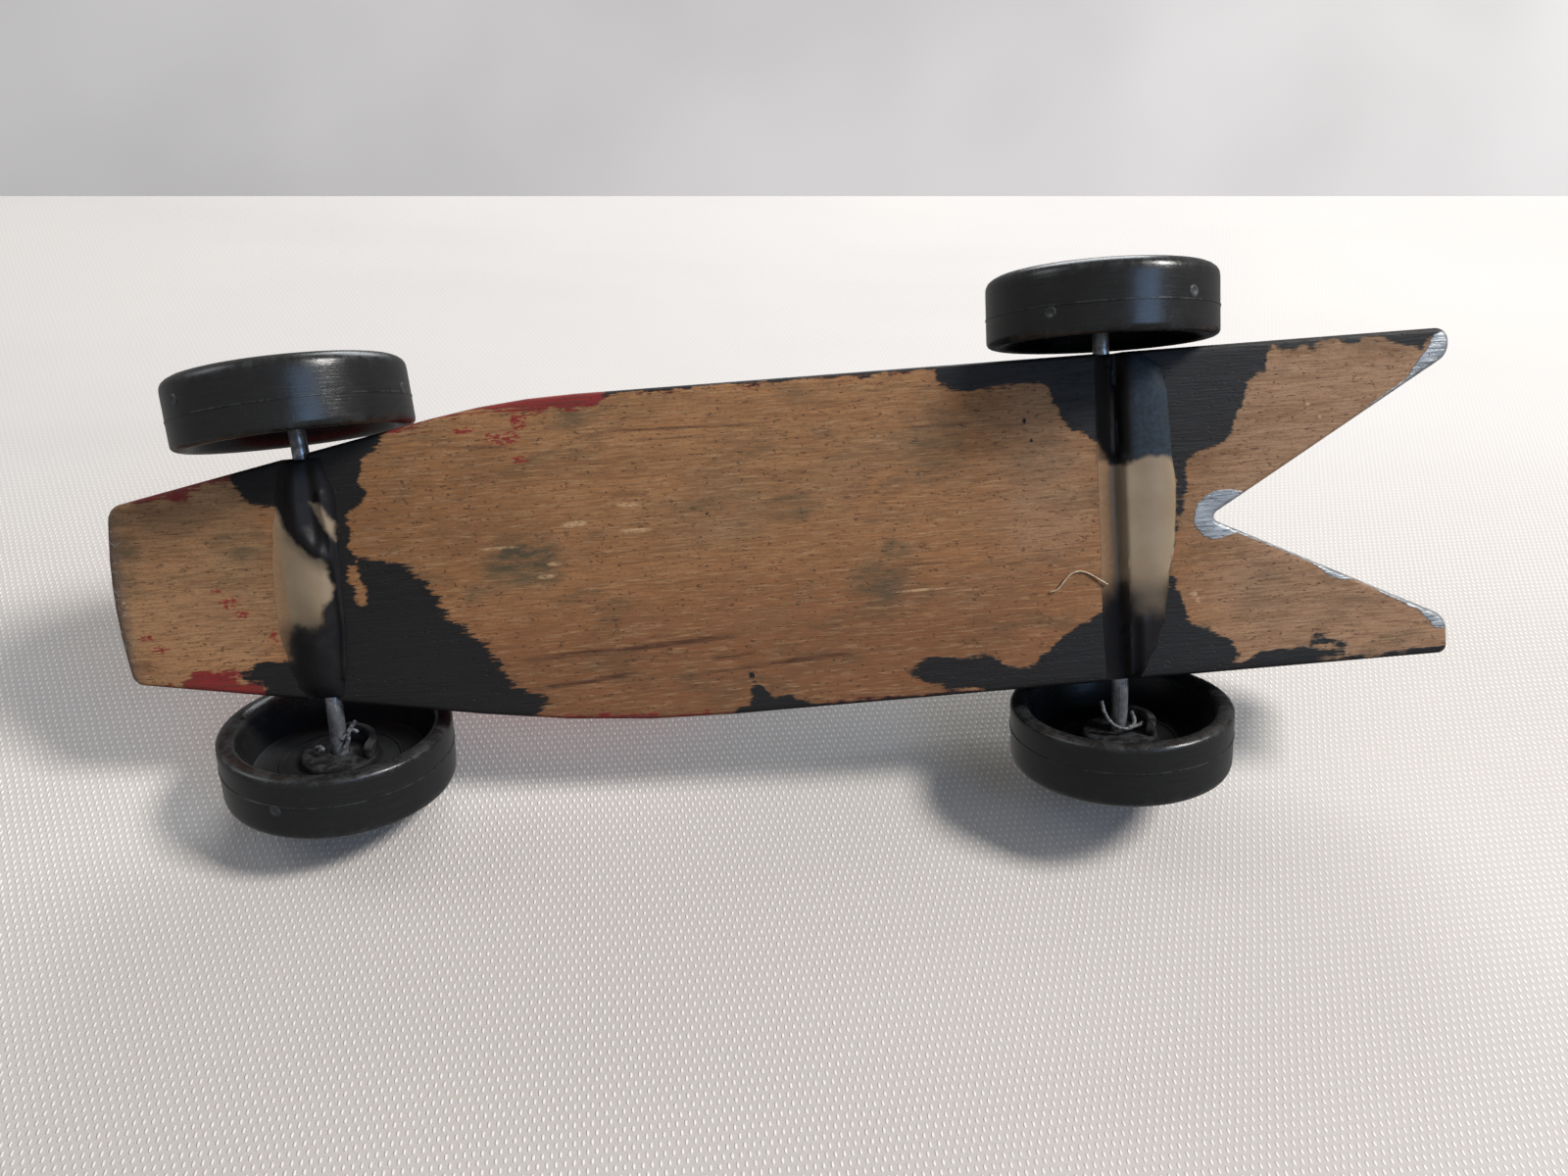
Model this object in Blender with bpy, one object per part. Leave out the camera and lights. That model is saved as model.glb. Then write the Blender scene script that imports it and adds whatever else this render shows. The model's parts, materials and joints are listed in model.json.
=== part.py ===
"""Wooden derby race car: a carved block on four nail axles with plastic wheels.

Metres, +Z up. +X is the nose, +Y is the car's left side, and the car stands on z = 0.
"""
import math

import bmesh
import bpy
from mathutils import Matrix, Vector

MM = 0.001
GAP = 0.3 * MM                      # air left between pieces that touch

# Block, cut from a 7 by 1 3/4 inch blank
BODY_LENGTH = 177.8 * MM
NOSE_X = BODY_LENGTH / 2
HALF_WIDTH = 22.2 * MM
UNDERSIDE_Z = 12.3 * MM             # ride height of the flat underside
CENTRE_Y = 1.34 * MM                # the wheels sit unevenly, so the block is off the middle
BODY_BEVEL = 0.6 * MM

# Plan outline: distance behind the nose, distance to the left, corner radius (mm)
PLAN_CORNERS = (
    (-0.7, 0.5, 60.0),
    (0.9, 12.2, 2.2),
    (52.0, 22.2, 100.0),
    (178.0, 22.2, 1.8),
    (178.0, 18.6, 2.5),
    (144.7, -0.7, 0.8),
    (177.8, -17.1, 3.0),
    (177.9, -22.2, 1.2),
    (62.0, -22.2, 190.0),
    (0.6, -11.2, 1.5),
)
# Side outline of the top: distance behind the nose, height over the underside, radius (mm)
TOP_CORNERS = (
    (-4.0, 6.5, 0.0),
    (70.0, 13.0, 120.0),
    (118.0, 24.0, 70.0),
    (184.0, 13.5, 0.0),
)
ARC_STEP = math.radians(9.0)

# Axle slots sawn across the underside
SLOT_WIDTH = 3.6 * MM
SLOT_DEPTH = 4.6 * MM
FRONT_SLOT_X = NOSE_X - 24.9 * MM
REAR_SLOT_X = NOSE_X - 132.1 * MM

# Nail axles
SHANK_RADIUS = 1.1 * MM
NAIL_HEAD_RADIUS = 3.0 * MM
NAIL_HEAD_HEIGHT = 1.0 * MM
NAIL_POINT = 2.4 * MM
NAIL_SIDES = 20
BEND_RUN = 1.2 * MM                 # length of nail taken up on each side of its bend
HEAD_PLAY = 0.35 * MM               # between the wheel and the nail head

# Moulded wheels: distance out from the inner rim, radius (mm)
WHEEL_RADIUS = 15.1
WHEEL_WIDTH = 9.2
BORE_RADIUS = 1.23
WHEEL_SIDES = 64
WHEEL_PROFILE = (
    (2.6, BORE_RADIUS),
    (2.6, 4.9),
    (2.9, 5.2),
    (5.7, 5.4),
    (5.9, 11.4),
    (1.2, 12.6),
    (0.4, 12.9),
    (0.0, 13.5),
    (0.0, 14.2),
    (0.15, 14.8),
    (0.5, WHEEL_RADIUS),
    (7.9, WHEEL_RADIUS),
    (8.4, 14.9),
    (9.1, 13.9),
    (WHEEL_WIDTH, 13.3),
    (9.1, 12.6),
    (8.0, 12.1),
    (7.7, 4.9),
    (8.9, 4.6),
    (8.9, BORE_RADIUS),
)

# One row per corner: side, slot, then the wheel's inner rim centre from the block's middle (mm),
# toe-out and camber (degrees), and where the nail enters the block and ends in it (mm)
CORNERS = {
    "front_left": dict(side=1, slot=FRONT_SLOT_X, rim=(64.2, 19.2), toe=4.0, camber=2.5,
                       bend_y=17.2, tip_y=2.2),
    "rear_left": dict(side=1, slot=REAR_SLOT_X, rim=(-42.8, 23.6), toe=-2.2, camber=2.3,
                      bend_y=22.8, tip_y=6.2),
    "front_right": dict(side=-1, slot=FRONT_SLOT_X, rim=(63.9, 19.0), toe=5.5, camber=15.0,
                        bend_y=17.0, tip_y=2.2),
    "rear_right": dict(side=-1, slot=REAR_SLOT_X, rim=(-43.5, 25.5), toe=0.0, camber=10.0,
                       bend_y=23.2, tip_y=7.0),
}

# Glue beads over the slots: distance to the left, then both edges behind the nose (mm)
FRONT_BEAD = (
    (15.2, 23.9, 27.7),
    (7.0, 22.0, 28.7),
    (-1.0, 20.5, 28.1),
    (-10.0, 20.4, 27.3),
    (-14.4, 21.6, 26.0),
)
REAR_BEAD = (
    (20.2, 131.9, 136.0),
    (16.0, 131.5, 139.3),
    (0.0, 131.1, 140.0),
    (-16.0, 129.8, 137.4),
    (-20.8, 131.0, 134.8),
)
BEAD_HEIGHT = 1.5 * MM
BEAD_EDGE = 0.15 * MM
BEAD_ROWS = 28
BEAD_COLUMNS = 12
TROUGH_DEPTH = 0.8
TROUGH_WIDTH = 1.0 * MM
STEM_TOP = 0.0 * MM                 # how far the bead reaches up into the slot under the nails
PLUG_TOP = 4.2 * MM                 # how far it reaches between the nail points

COLOURS = {
    "wood": ((0.45, 0.29, 0.15, 1.0), 0.75, 0.0),
    "glue": ((0.62, 0.56, 0.44, 1.0), 0.3, 0.0),
    "steel": ((0.35, 0.35, 0.36, 1.0), 0.4, 1.0),
    "black_plastic": ((0.02, 0.02, 0.022, 1.0), 0.4, 0.0),
}


def clear_scene():
    for thing in list(bpy.data.objects):
        bpy.data.objects.remove(thing, do_unlink=True)


def make_material(name, kind):
    colour, roughness, metallic = COLOURS[kind]
    material = bpy.data.materials.new(name)
    material.use_nodes = True
    shader = material.node_tree.nodes["Principled BSDF"]
    shader.inputs["Base Color"].default_value = colour
    shader.inputs["Roughness"].default_value = roughness
    shader.inputs["Metallic"].default_value = metallic
    return material


def add_object(name, bm, kind, parent):
    """Turn a bmesh into an object with its own material, under the parent empty."""
    bmesh.ops.recalc_face_normals(bm, faces=bm.faces[:])
    mesh = bpy.data.meshes.new(name)
    bm.to_mesh(mesh)
    bm.free()
    thing = bpy.data.objects.new(name, mesh)
    bpy.context.scene.collection.objects.link(thing)
    mesh.materials.append(make_material(name, kind))
    thing.parent = parent
    return thing


def smooth(thing, degrees):
    for polygon in thing.data.polygons:
        polygon.use_smooth = True
    thing.data.set_sharp_from_angle(angle=math.radians(degrees))


def rounded(corners, closed):
    """Replace each corner that has a radius by an arc; returns a list of 2D points."""
    points = []
    count = len(corners)
    for index, (x, y, radius) in enumerate(corners):
        here = Vector((x, y))
        at_end = not closed and index in (0, count - 1)
        if radius == 0.0 or at_end:
            points.append(here)
            continue
        before = Vector(corners[index - 1][:2])
        after = Vector(corners[(index + 1) % count][:2])
        into = (before - here).normalized()
        out = (after - here).normalized()
        turn = math.pi - into.angle(out)
        reach = radius * math.tan(turn / 2)
        middle = here + (into + out).normalized() * radius / math.cos(turn / 2)
        start = here + into * reach - middle
        steps = max(2, math.ceil(turn / ARC_STEP))
        sign = 1.0 if start.x * (-into).y - start.y * (-into).x > 0 else -1.0
        for step in range(steps + 1):
            angle = sign * turn * step / steps
            spoke = Matrix.Rotation(angle, 2) @ start
            points.append(middle + spoke)
    return points


def prism(points, low, high):
    """Extrude a closed outline of 3D points from low to high (both are offsets)."""
    bm = bmesh.new()
    verts = [bm.verts.new(Vector(point) + low) for point in points]
    face = bm.faces.new(verts)
    swept = bmesh.ops.extrude_face_region(bm, geom=[face])
    moved = [item for item in swept["geom"] if isinstance(item, bmesh.types.BMVert)]
    bmesh.ops.translate(bm, vec=high - low, verts=moved)
    return bm


def box_into(bm, low, high):
    """Add a box between two corners to a bmesh."""
    size = Vector(high) - Vector(low)
    middle = (Vector(high) + Vector(low)) / 2
    matrix = Matrix.Translation(middle) @ Matrix.Diagonal(size.to_4d())
    bmesh.ops.create_cube(bm, size=1.0, matrix=matrix)


def add_cutter(name, bm, parent):
    bmesh.ops.recalc_face_normals(bm, faces=bm.faces[:])
    mesh = bpy.data.meshes.new(name)
    bm.to_mesh(mesh)
    bm.free()
    cutter = bpy.data.objects.new(name, mesh)
    bpy.context.scene.collection.objects.link(cutter)
    cutter.parent = parent
    cutter.hide_render = True
    cutter.display_type = "WIRE"
    return cutter


def add_boolean(thing, operation, other):
    modifier = thing.modifiers.new(other.name, "BOOLEAN")
    modifier.operation = operation
    modifier.solver = "EXACT"
    modifier.object = other


def build_block(car):
    """The carved block: plan outline cut by the side outline, edges eased, slots sawn."""
    plan = []
    for back, left in rounded(PLAN_CORNERS, closed=True):
        plan.append((NOSE_X - back * MM, left * MM, 0.0))
    bm = prism(plan, Vector((0, 0, 0)), Vector((0, 0, 30 * MM)))
    block = add_object("body_block", bm, "wood", car)

    side = []
    for back, up in rounded(TOP_CORNERS, closed=False):
        side.append((NOSE_X - back * MM, 0.0, up * MM))
    side.append((NOSE_X - TOP_CORNERS[-1][0] * MM, 0.0, -5 * MM))
    side.append((NOSE_X - TOP_CORNERS[0][0] * MM, 0.0, -5 * MM))
    bm = prism(side, Vector((0, -30 * MM, 0)), Vector((0, 30 * MM, 0)))
    add_boolean(block, "INTERSECT", add_cutter("side_outline", bm, car))

    bevel = block.modifiers.new("eased_edges", "BEVEL")
    bevel.width = BODY_BEVEL
    bevel.segments = 3
    bevel.limit_method = "ANGLE"
    bevel.angle_limit = math.radians(40)

    bm = bmesh.new()
    for slot_x in (FRONT_SLOT_X, REAR_SLOT_X):
        low = (slot_x - SLOT_WIDTH / 2, -30 * MM, -5 * MM)
        high = (slot_x + SLOT_WIDTH / 2, 30 * MM, SLOT_DEPTH)
        box_into(bm, low, high)
    add_boolean(block, "DIFFERENCE", add_cutter("axle_slots", bm, car))


def wheel_axis(corner):
    """Unit vector out along the wheel's axis."""
    toe = math.radians(corner["toe"])
    camber = math.radians(corner["camber"])
    side = corner["side"]
    flat = math.cos(camber)
    return Vector((math.sin(toe) * flat, side * math.cos(toe) * flat, math.sin(camber)))


def rim_centre(corner):
    """Centre of the wheel's inner rim, high enough that the tread just reaches the ground."""
    x, out = corner["rim"]
    camber = math.radians(corner["camber"])
    reaches = [radius * math.cos(camber) - along * math.sin(camber) for along, radius in WHEEL_PROFILE]
    return Vector((x * MM, corner["side"] * out * MM, max(reaches) * MM - UNDERSIDE_Z))


def lathe(profile, sides):
    """Revolve a closed (distance along +Z, radius) profile into a closed ring-shaped solid."""
    bm = bmesh.new()
    rings = []
    for along, radius in profile:
        ring = []
        for step in range(sides):
            angle = 2 * math.pi * step / sides
            ring.append(bm.verts.new((radius * math.cos(angle), radius * math.sin(angle), along)))
        rings.append(ring)
    for index, ring in enumerate(rings):
        after = rings[(index + 1) % len(rings)]
        for step in range(sides):
            turn = (step + 1) % sides
            bm.faces.new((ring[step], ring[turn], after[turn], after[step]))
    return bm


def build_wheel(name, corner, car):
    """A wheel whose origin is on its axle, with local +Z pointing out along the axle."""
    profile = [(along * MM, radius * MM) for along, radius in WHEEL_PROFILE]
    wheel = add_object(name + "_wheel", lathe(profile, WHEEL_SIDES), "black_plastic", car)
    wheel.location = rim_centre(corner)
    wheel.rotation_mode = "QUATERNION"
    wheel.rotation_quaternion = wheel_axis(corner).to_track_quat("Z", "X")
    smooth(wheel, 35)


def nail_path(corner):
    """Points and radii along a nail: point, shank in the slot, bend, shank in the wheel, head."""
    axis = wheel_axis(corner)
    rim = rim_centre(corner)
    side = corner["side"]
    bend_y = side * corner["bend_y"] * MM
    bend = rim + axis * (bend_y - rim.y) / axis.y
    spare = SLOT_WIDTH / 2 - SHANK_RADIUS - GAP
    tip_x = min(max(bend.x, corner["slot"] - spare), corner["slot"] + spare)
    tip = Vector((tip_x, side * corner["tip_y"] * MM, bend.z))
    inward = (tip - bend).normalized()
    stations = [(tip, SHANK_RADIUS * 0.15)]
    stations.append((tip - inward * NAIL_POINT, SHANK_RADIUS))
    start = bend + inward * BEND_RUN
    end = bend + axis * BEND_RUN
    for step in range(5):
        t = step / 4
        point = start * (1 - t) ** 2 + bend * 2 * t * (1 - t) + end * t ** 2
        stations.append((point, SHANK_RADIUS))
    under_head = rim + axis * (WHEEL_WIDTH * MM + HEAD_PLAY)
    stations.append((under_head, SHANK_RADIUS))
    stations.append((under_head, NAIL_HEAD_RADIUS))
    stations.append((under_head + axis * NAIL_HEAD_HEIGHT * 0.4, NAIL_HEAD_RADIUS))
    stations.append((under_head + axis * NAIL_HEAD_HEIGHT * 0.8, NAIL_HEAD_RADIUS * 0.75))
    stations.append((under_head + axis * NAIL_HEAD_HEIGHT, NAIL_HEAD_RADIUS * 0.35))
    return stations, inward, axis


def build_nail(name, corner, car):
    stations, inward, axis = nail_path(corner)
    bm = bmesh.new()
    rings = []
    last = len(stations) - 1
    for index, (point, radius) in enumerate(stations):
        if index <= 2:
            along = -inward
        elif index >= 6:
            along = axis
        else:
            along = (stations[index + 1][0] - stations[index - 1][0]).normalized()
        across = along.cross(Vector((0, 0, 1))).normalized()
        up = across.cross(along)
        ring = []
        for step in range(NAIL_SIDES):
            angle = 2 * math.pi * step / NAIL_SIDES
            offset = across * math.cos(angle) + up * math.sin(angle)
            ring.append(bm.verts.new(point + offset * radius))
        rings.append(ring)
        if index in (0, last):
            bm.faces.new(ring)
    for ring, after in zip(rings, rings[1:]):
        for step in range(NAIL_SIDES):
            turn = (step + 1) % NAIL_SIDES
            bm.faces.new((ring[step], ring[turn], after[turn], after[step]))
    origin = rim_centre(corner)
    bmesh.ops.translate(bm, vec=-origin, verts=bm.verts[:])
    nail = add_object(name + "_axle_nail", bm, "steel", car)
    nail.location = origin
    smooth(nail, 40)


def bead_edges(stations, left):
    """Front and rear edge of a bead at a distance to the left, eased between stations."""
    for (upper, front_a, rear_a), (lower, front_b, rear_b) in zip(stations, stations[1:]):
        if left >= lower:
            t = (upper - left) / (upper - lower)
            t = t * t * (3 - 2 * t)
            return front_a + (front_b - front_a) * t, rear_a + (rear_b - rear_a) * t
    return stations[-1][1:]


def bead_height(across, end, offset):
    """Height of the bead: a rounded cross-section with a trough along the slot."""
    dome = (1 - across ** 4) ** 0.5 * (1 - end ** 8) ** 0.5
    trough = 1 - TROUGH_DEPTH * math.exp(-(offset / TROUGH_WIDTH) ** 2)
    return BEAD_EDGE + (BEAD_HEIGHT - BEAD_EDGE) * dome * trough


def build_bead(name, stations, slot_x, plug_reach, half_width, car):
    """A bead of hot glue lying over a slot, with a stem in the slot's mouth."""
    bm = bmesh.new()
    top = stations[0][0]
    length = top - stations[-1][0]
    outer = []
    inner = []
    for row in range(BEAD_ROWS + 1):
        end = 2 * row / BEAD_ROWS - 1
        left = top - length * row / BEAD_ROWS
        front, rear = bead_edges(stations, left)
        for column in range(BEAD_COLUMNS + 1):
            across = 2 * column / BEAD_COLUMNS - 1
            back = front + (rear - front) * (across + 1) / 2
            x = NOSE_X - back * MM
            height = bead_height(across, end, x - slot_x)
            outer.append(bm.verts.new((x, left * MM, -GAP - height)))
            inner.append(bm.verts.new((x, left * MM, -GAP)))
    width = BEAD_COLUMNS + 1
    for row in range(BEAD_ROWS):
        for column in range(BEAD_COLUMNS):
            a = row * width + column
            square = (a, a + 1, a + width + 1, a + width)
            bm.faces.new([outer[index] for index in square])
            bm.faces.new([inner[index] for index in reversed(square)])
    border = [row * width for row in range(BEAD_ROWS + 1)]
    border += [BEAD_ROWS * width + column for column in range(1, width)]
    border += [row * width + width - 1 for row in range(BEAD_ROWS - 1, -1, -1)]
    border += list(range(width - 2, 0, -1))
    for index, a in enumerate(border):
        b = border[(index + 1) % len(border)]
        bm.faces.new((outer[a], outer[b], inner[b], inner[a]))
    bead = add_object(name, bm, "glue", car)

    bm = bmesh.new()
    reach = half_width - 2 * MM
    half_stem = SLOT_WIDTH / 2 - GAP
    low = (slot_x - half_stem, -reach, -0.4 * MM)
    box_into(bm, low, (slot_x + half_stem, reach, STEM_TOP))
    stem = add_cutter(name + "_stem", bm, car)
    bm = bmesh.new()
    low = (slot_x - half_stem, -plug_reach, -0.35 * MM)
    box_into(bm, low, (slot_x + half_stem, plug_reach, PLUG_TOP))
    plug = add_cutter(name + "_plug", bm, car)
    add_boolean(bead, "UNION", stem)
    add_boolean(bead, "UNION", plug)
    smooth(bead, 40)


def build_car():
    clear_scene()
    car = bpy.data.objects.new("car", None)
    bpy.context.scene.collection.objects.link(car)
    car.location = (0.0, CENTRE_Y, UNDERSIDE_Z)
    build_block(car)
    build_bead("front_slot_glue", FRONT_BEAD, FRONT_SLOT_X, 1.6 * MM, 15.8 * MM, car)
    build_bead("rear_slot_glue", REAR_BEAD, REAR_SLOT_X, 5.0 * MM, HALF_WIDTH, car)
    for name, corner in CORNERS.items():
        build_wheel(name, corner, car)
        build_nail(name, corner, car)


build_car()
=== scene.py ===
"""Looks for the wooden derby race car: carved and painted block, hot glue, plastic wheels.

Metres, in the CAD frame. Shapes on the block are given in millimetres behind the nose and to
the car's left, as they were laid out for the CAD.
"""
import json
import math

import bmesh
import bpy
import numpy as np
from mathutils import Matrix, Vector
from mathutils.geometry import delaunay_2d_cdt


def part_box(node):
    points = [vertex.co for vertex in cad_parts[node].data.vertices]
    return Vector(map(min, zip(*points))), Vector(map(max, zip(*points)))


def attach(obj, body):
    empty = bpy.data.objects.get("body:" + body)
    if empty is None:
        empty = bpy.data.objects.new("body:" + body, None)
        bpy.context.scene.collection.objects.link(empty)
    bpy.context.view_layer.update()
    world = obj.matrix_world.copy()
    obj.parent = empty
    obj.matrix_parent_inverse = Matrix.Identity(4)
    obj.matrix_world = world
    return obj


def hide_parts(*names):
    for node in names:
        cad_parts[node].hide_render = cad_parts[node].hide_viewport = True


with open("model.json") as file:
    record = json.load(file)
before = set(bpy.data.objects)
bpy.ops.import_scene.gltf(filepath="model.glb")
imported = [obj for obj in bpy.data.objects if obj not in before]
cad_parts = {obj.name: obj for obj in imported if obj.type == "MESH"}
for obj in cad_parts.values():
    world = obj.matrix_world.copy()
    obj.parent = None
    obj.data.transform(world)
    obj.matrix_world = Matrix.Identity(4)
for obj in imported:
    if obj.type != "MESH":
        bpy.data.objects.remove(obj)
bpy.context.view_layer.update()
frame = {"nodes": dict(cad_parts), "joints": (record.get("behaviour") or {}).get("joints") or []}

MM = 0.001
METRES = (1, 1, 1)                  # texture spaces: metres or millimetres of the object
MILLIMETRES = (1000, 1000, 1000)
BLOCK_LOW, BLOCK_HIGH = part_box("body_block")
TAIL_BACK = 178.0                   # the tail's distance behind the nose mark
NOSE_X = BLOCK_LOW.x + TAIL_BACK * MM
ORIGIN = Vector((0.0, (BLOCK_LOW.y + BLOCK_HIGH.y) / 2, BLOCK_LOW.z))

# Plan outline: distance behind the nose, distance to the left, corner radius
PLAN_CORNERS = (
    (-1.6, 0.5, 60.0),
    (0.1, 12.2, 2.4),
    (52.0, 22.2, 100.0),
    (178.0, 22.2, 1.8),
    (178.0, 18.6, 2.5),
    (144.7, -0.7, 0.8),
    (177.8, -17.1, 3.0),
    (177.9, -22.2, 1.2),
    (62.0, -22.2, 190.0),
    (0.0, -11.2, 1.7),
)
# Top profile: distance behind the nose, height over the underside, corner radius
TOP_CORNERS = (
    (-4.0, 6.5, 0.0),
    (70.0, 13.0, 120.0),
    (118.0, 24.0, 70.0),
    (184.0, 13.5, 0.0),
)
ARC_STEP = math.radians(4.0)
OUTLINE_STEP = 0.8
CAP_STEP = 0.85
CAP_INSET = 0.35                    # the net of a cap keeps this far from its rim
EDGE_RADIUS = 0.6
NOSE_EDGE_EXTRA = 0.8               # the nose edge is worn rounder than the rest
NOSE_EDGE_REACH = 3.0
TOP_EDGE_RADIUS = 1.0
EDGE_RINGS = 4
SIDE_RINGS = 9
SLOT_WIDTH = 3.6
SLOT_DEPTH = 4.6
SLOT_OVERRUN = 30.0                 # the saw runs past both sides of the block
SLOT_OPEN = 5.0
FRONT_SLOT = 24.9
REAR_SLOT = 132.1

# Paint on the underside, as closed outlines of distance behind the nose and to the left
BLACK = (
    ((16, 24), (16, 16.5), (16.5, 14.5), (17.5, 12.5), (18, 11.5), (20, 11), (21.5, 10.5),
     (23, 7), (25.5, 4), (27, 3.5), (28, -0.5), (27.5, -2), (26.5, -2.5), (26, -5),
     (24.5, -5.5), (23, -5), (22, -5), (21, -7.5), (21, -9.5), (19.5, -10), (17.5, -9.5),
     (15.5, -10), (14.5, -10.5), (14, -11.5), (15, -12.5), (16.5, -12), (17, -13),
     (17, -26), (52.5, -26), (52.5, -20), (53, -19), (54.5, -18), (53.5, -17), (52, -16.5),
     (49.5, -15), (48.5, -13), (47, -11), (47, -9.5), (44.5, -8), (43.5, -6.5), (41.5, -5),
     (41, -3), (40, -0.5), (38.5, 0), (38, 1), (35.5, 2.5), (31.5, 3), (30.5, 4.5),
     (30.5, 7), (31, 9), (32.5, 10), (33.5, 11.5), (32.5, 13), (33.5, 15.5), (37.5, 19.5),
     (37.5, 26)),
    ((65.5, 26), (65.5, 21.5), (68, 21.5), (72.5, 22), (75, 22.5), (78.5, 22), (83.5, 22),
     (84, 26)),
    ((95, 26), (95, 22), (99, 21.5), (101, 21.5), (103, 22.5), (103, 26)),
    ((108.5, 26), (108.5, 22.5), (109, 20), (110.5, 19), (113.5, 18.5), (116.5, 18.5),
     (119, 19), (121, 19), (123.5, 18.5), (124, 16), (125, 14.5), (126.5, 12.5),
     (128.5, 11.5), (130, 10.5), (130.5, 9), (131.5, 7.5), (133, 7.5), (134.5, 8),
     (136, 8.5), (139.5, 8), (140.2, 4), (140, 0), (139.6, -4), (140.2, -3.5), (141, 0),
     (141.5, 2), (142, 4.5), (142, 6.5), (142.5, 8), (145, 8.5), (147.5, 9.5),
     (148.5, 11.5), (149.5, 13.5), (150, 15.5), (151, 17.5), (153, 18.5), (153.5, 21.3),
     (155, 21), (159.5, 20.5), (160.5, 21.5), (164, 21), (168.5, 21.5), (169.5, 21),
     (171.5, 20), (174.5, 19.5), (175.5, 21), (177.5, 21.5), (182, 22), (182, 26)),
    ((112, -26), (112, -23), (113, -22), (109.5, -21), (104.5, -20), (102.5, -18.5),
     (104, -17), (107, -16.5), (111, -17), (114.5, -17), (116.5, -19), (119, -19),
     (121, -18), (123, -16), (125.5, -14), (128, -13), (129.5, -12), (130.5, -10.5),
     (131.5, -10.5), (132.5, -8.5), (134, -12.5), (135.5, -13), (138, -13), (138.6, -9),
     (139, -5.5), (139.5, -8), (140.5, -10.5), (141, -12), (142, -15), (144, -15.5),
     (146, -17), (148, -18.5), (148.5, -20), (147.5, -21), (150, -22), (156, -21.5),
     (156, -26)),
    ((148, -26), (148, -21.5), (150.5, -20), (156, -19.5), (158.5, -19.5), (158, -18.5),
     (159.5, -18), (161, -18.5), (163, -19), (164, -19.5), (163.5, -21), (161, -21),
     (159, -21.5), (168.5, -21.5), (175, -21), (178, -21), (182, -26)),
    ((77.5, -26), (77.5, -22.5), (79.5, -21), (81, -20.5), (81.5, -18), (83, -18.5),
     (84, -20), (86.5, -20), (88, -21), (92, -22), (92, -26)),
)
BLACK_HOLES = (
    ((30, 2), (31, 2), (31.5, 0.5), (32, -1.5), (31.5, -3), (30.5, -2.5), (30.5, -0.5),
     (29.5, 0.5)),
    ((26.2, 11.0), (27.4, 10.8), (29.0, 8.0), (28.8, 5.6), (27.7, 7.2)),
    ((159.3, -19.6), (161.2, -19.5), (162, -20.2), (160, -20.7)),
)
RED = (
    ((7, 13.5), (8.5, 14), (9.5, 13), (11, 12.5), (10.5, 12), (8.5, 12.5)),
    ((5.5, -12), (7.5, -11), (8.5, -10), (9.5, -10), (10.5, -10.5), (13, -10.5), (14, -12),
     (16.5, -12), (17.5, -14), (17, -18), (9, -16), (6, -14)),
    ((38, 26), (38, 19.6), (40.5, 19.3), (43.5, 20), (47.5, 20.8), (52.5, 20.8), (56, 20.3),
     (63, 20.3), (64.5, 21), (65.5, 21.5), (66, 26)),
    ((42, -26), (42, -21.4), (56, -21.7), (77, -21.8), (77, -26)),
)
SILVER = (
    ((182, 23), (177.5, 22), (175.5, 21), (174.5, 19), (173.5, 18), (172, 16), (170, 14.5),
     (167.5, 13), (165.5, 11.5), (164, 10.4), (164, 6), (182, 15)),
    ((149.5, 2.4), (147.5, 3), (146.5, 3), (144.5, 2.5), (143.3, 1.5), (142.6, 0),
     (142.7, -1.7), (143.6, -3), (145.5, -3.8), (146.8, -3.6), (148.4, -3.1), (152, -1)),
    ((148, -2.9), (153, -5.1), (156.5, -6.8), (159, -8.2), (161, -9.9), (163, -10.9),
     (164.5, -10.7), (166.5, -11.6), (168.5, -13), (171.5, -14.5), (174, -16),
     (176, -18.5), (178, -18.8), (182, -15), (150, 0)),
)
TOP_SILVER = 1.6                    # width of the silver round the notch on the top
EDGE_PAINT = 0.55                   # the sides' paint runs this far onto the underside
SIDE_SPLIT_LEFT = 65.0              # the sides change from red to black this far behind the nose
SIDE_SPLIT_RIGHT = 78.0
TOP_SPLIT = 72.0
NOTCH_START = 143.0
NOTCH_HALF_WIDTH = 19.5
NO_PAINT = -9.0                     # reach, in millimetres, far outside any paint
FULL_PAINT = 3.0                    # reach that is surely covered
BARE_NOSE = 3.0                     # no red edge this close to the nose
# The notch seen from above, run out past the tail
NOTCH_OUTLINE = ((184, 22.1), (144.7, -0.7), (184, -20.2), (190, 0))

# Stains along the grain: start and end (behind the nose, to the left), width, strength
STAINS = (
    ((48.5, -12.4), (83.0, -11.3), 0.60, 1.00),
    ((51.0, -16.2), (67.5, -15.4), 0.55, 0.95),
    ((75.5, -14.1), (83.0, -14.0), 0.50, 0.75),
    ((73.0, -16.1), (96.0, -15.2), 0.45, 0.75),
    ((85.0, -15.5), (95.5, -15.2), 0.60, 0.90),
    ((42.0, 16.6), (53.5, 15.9), 0.35, 0.60),
    ((64.0, 17.1), (86.0, 16.4), 0.32, 0.75),
    ((65.5, 15.7), (80.0, 15.2), 0.28, 0.50),
    ((116.0, -4.6), (123.0, -4.4), 0.30, 0.70),
    ((104.0, 14.6), (114.0, 14.4), 0.30, 0.70),
    ((100.0, -3.6), (110.0, -3.9), 0.30, 0.45),
    ((143.5, -7.4), (156.0, -7.6), 0.25, 0.45),
    ((148.0, 13.8), (163.0, 13.0), 0.25, 0.35),
    ((64.0, 8.9), (70.5, 8.5), 1.10, 0.40),
    ((0.0, -9.2), (3.4, -9.1), 1.30, 0.55),
)
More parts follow.
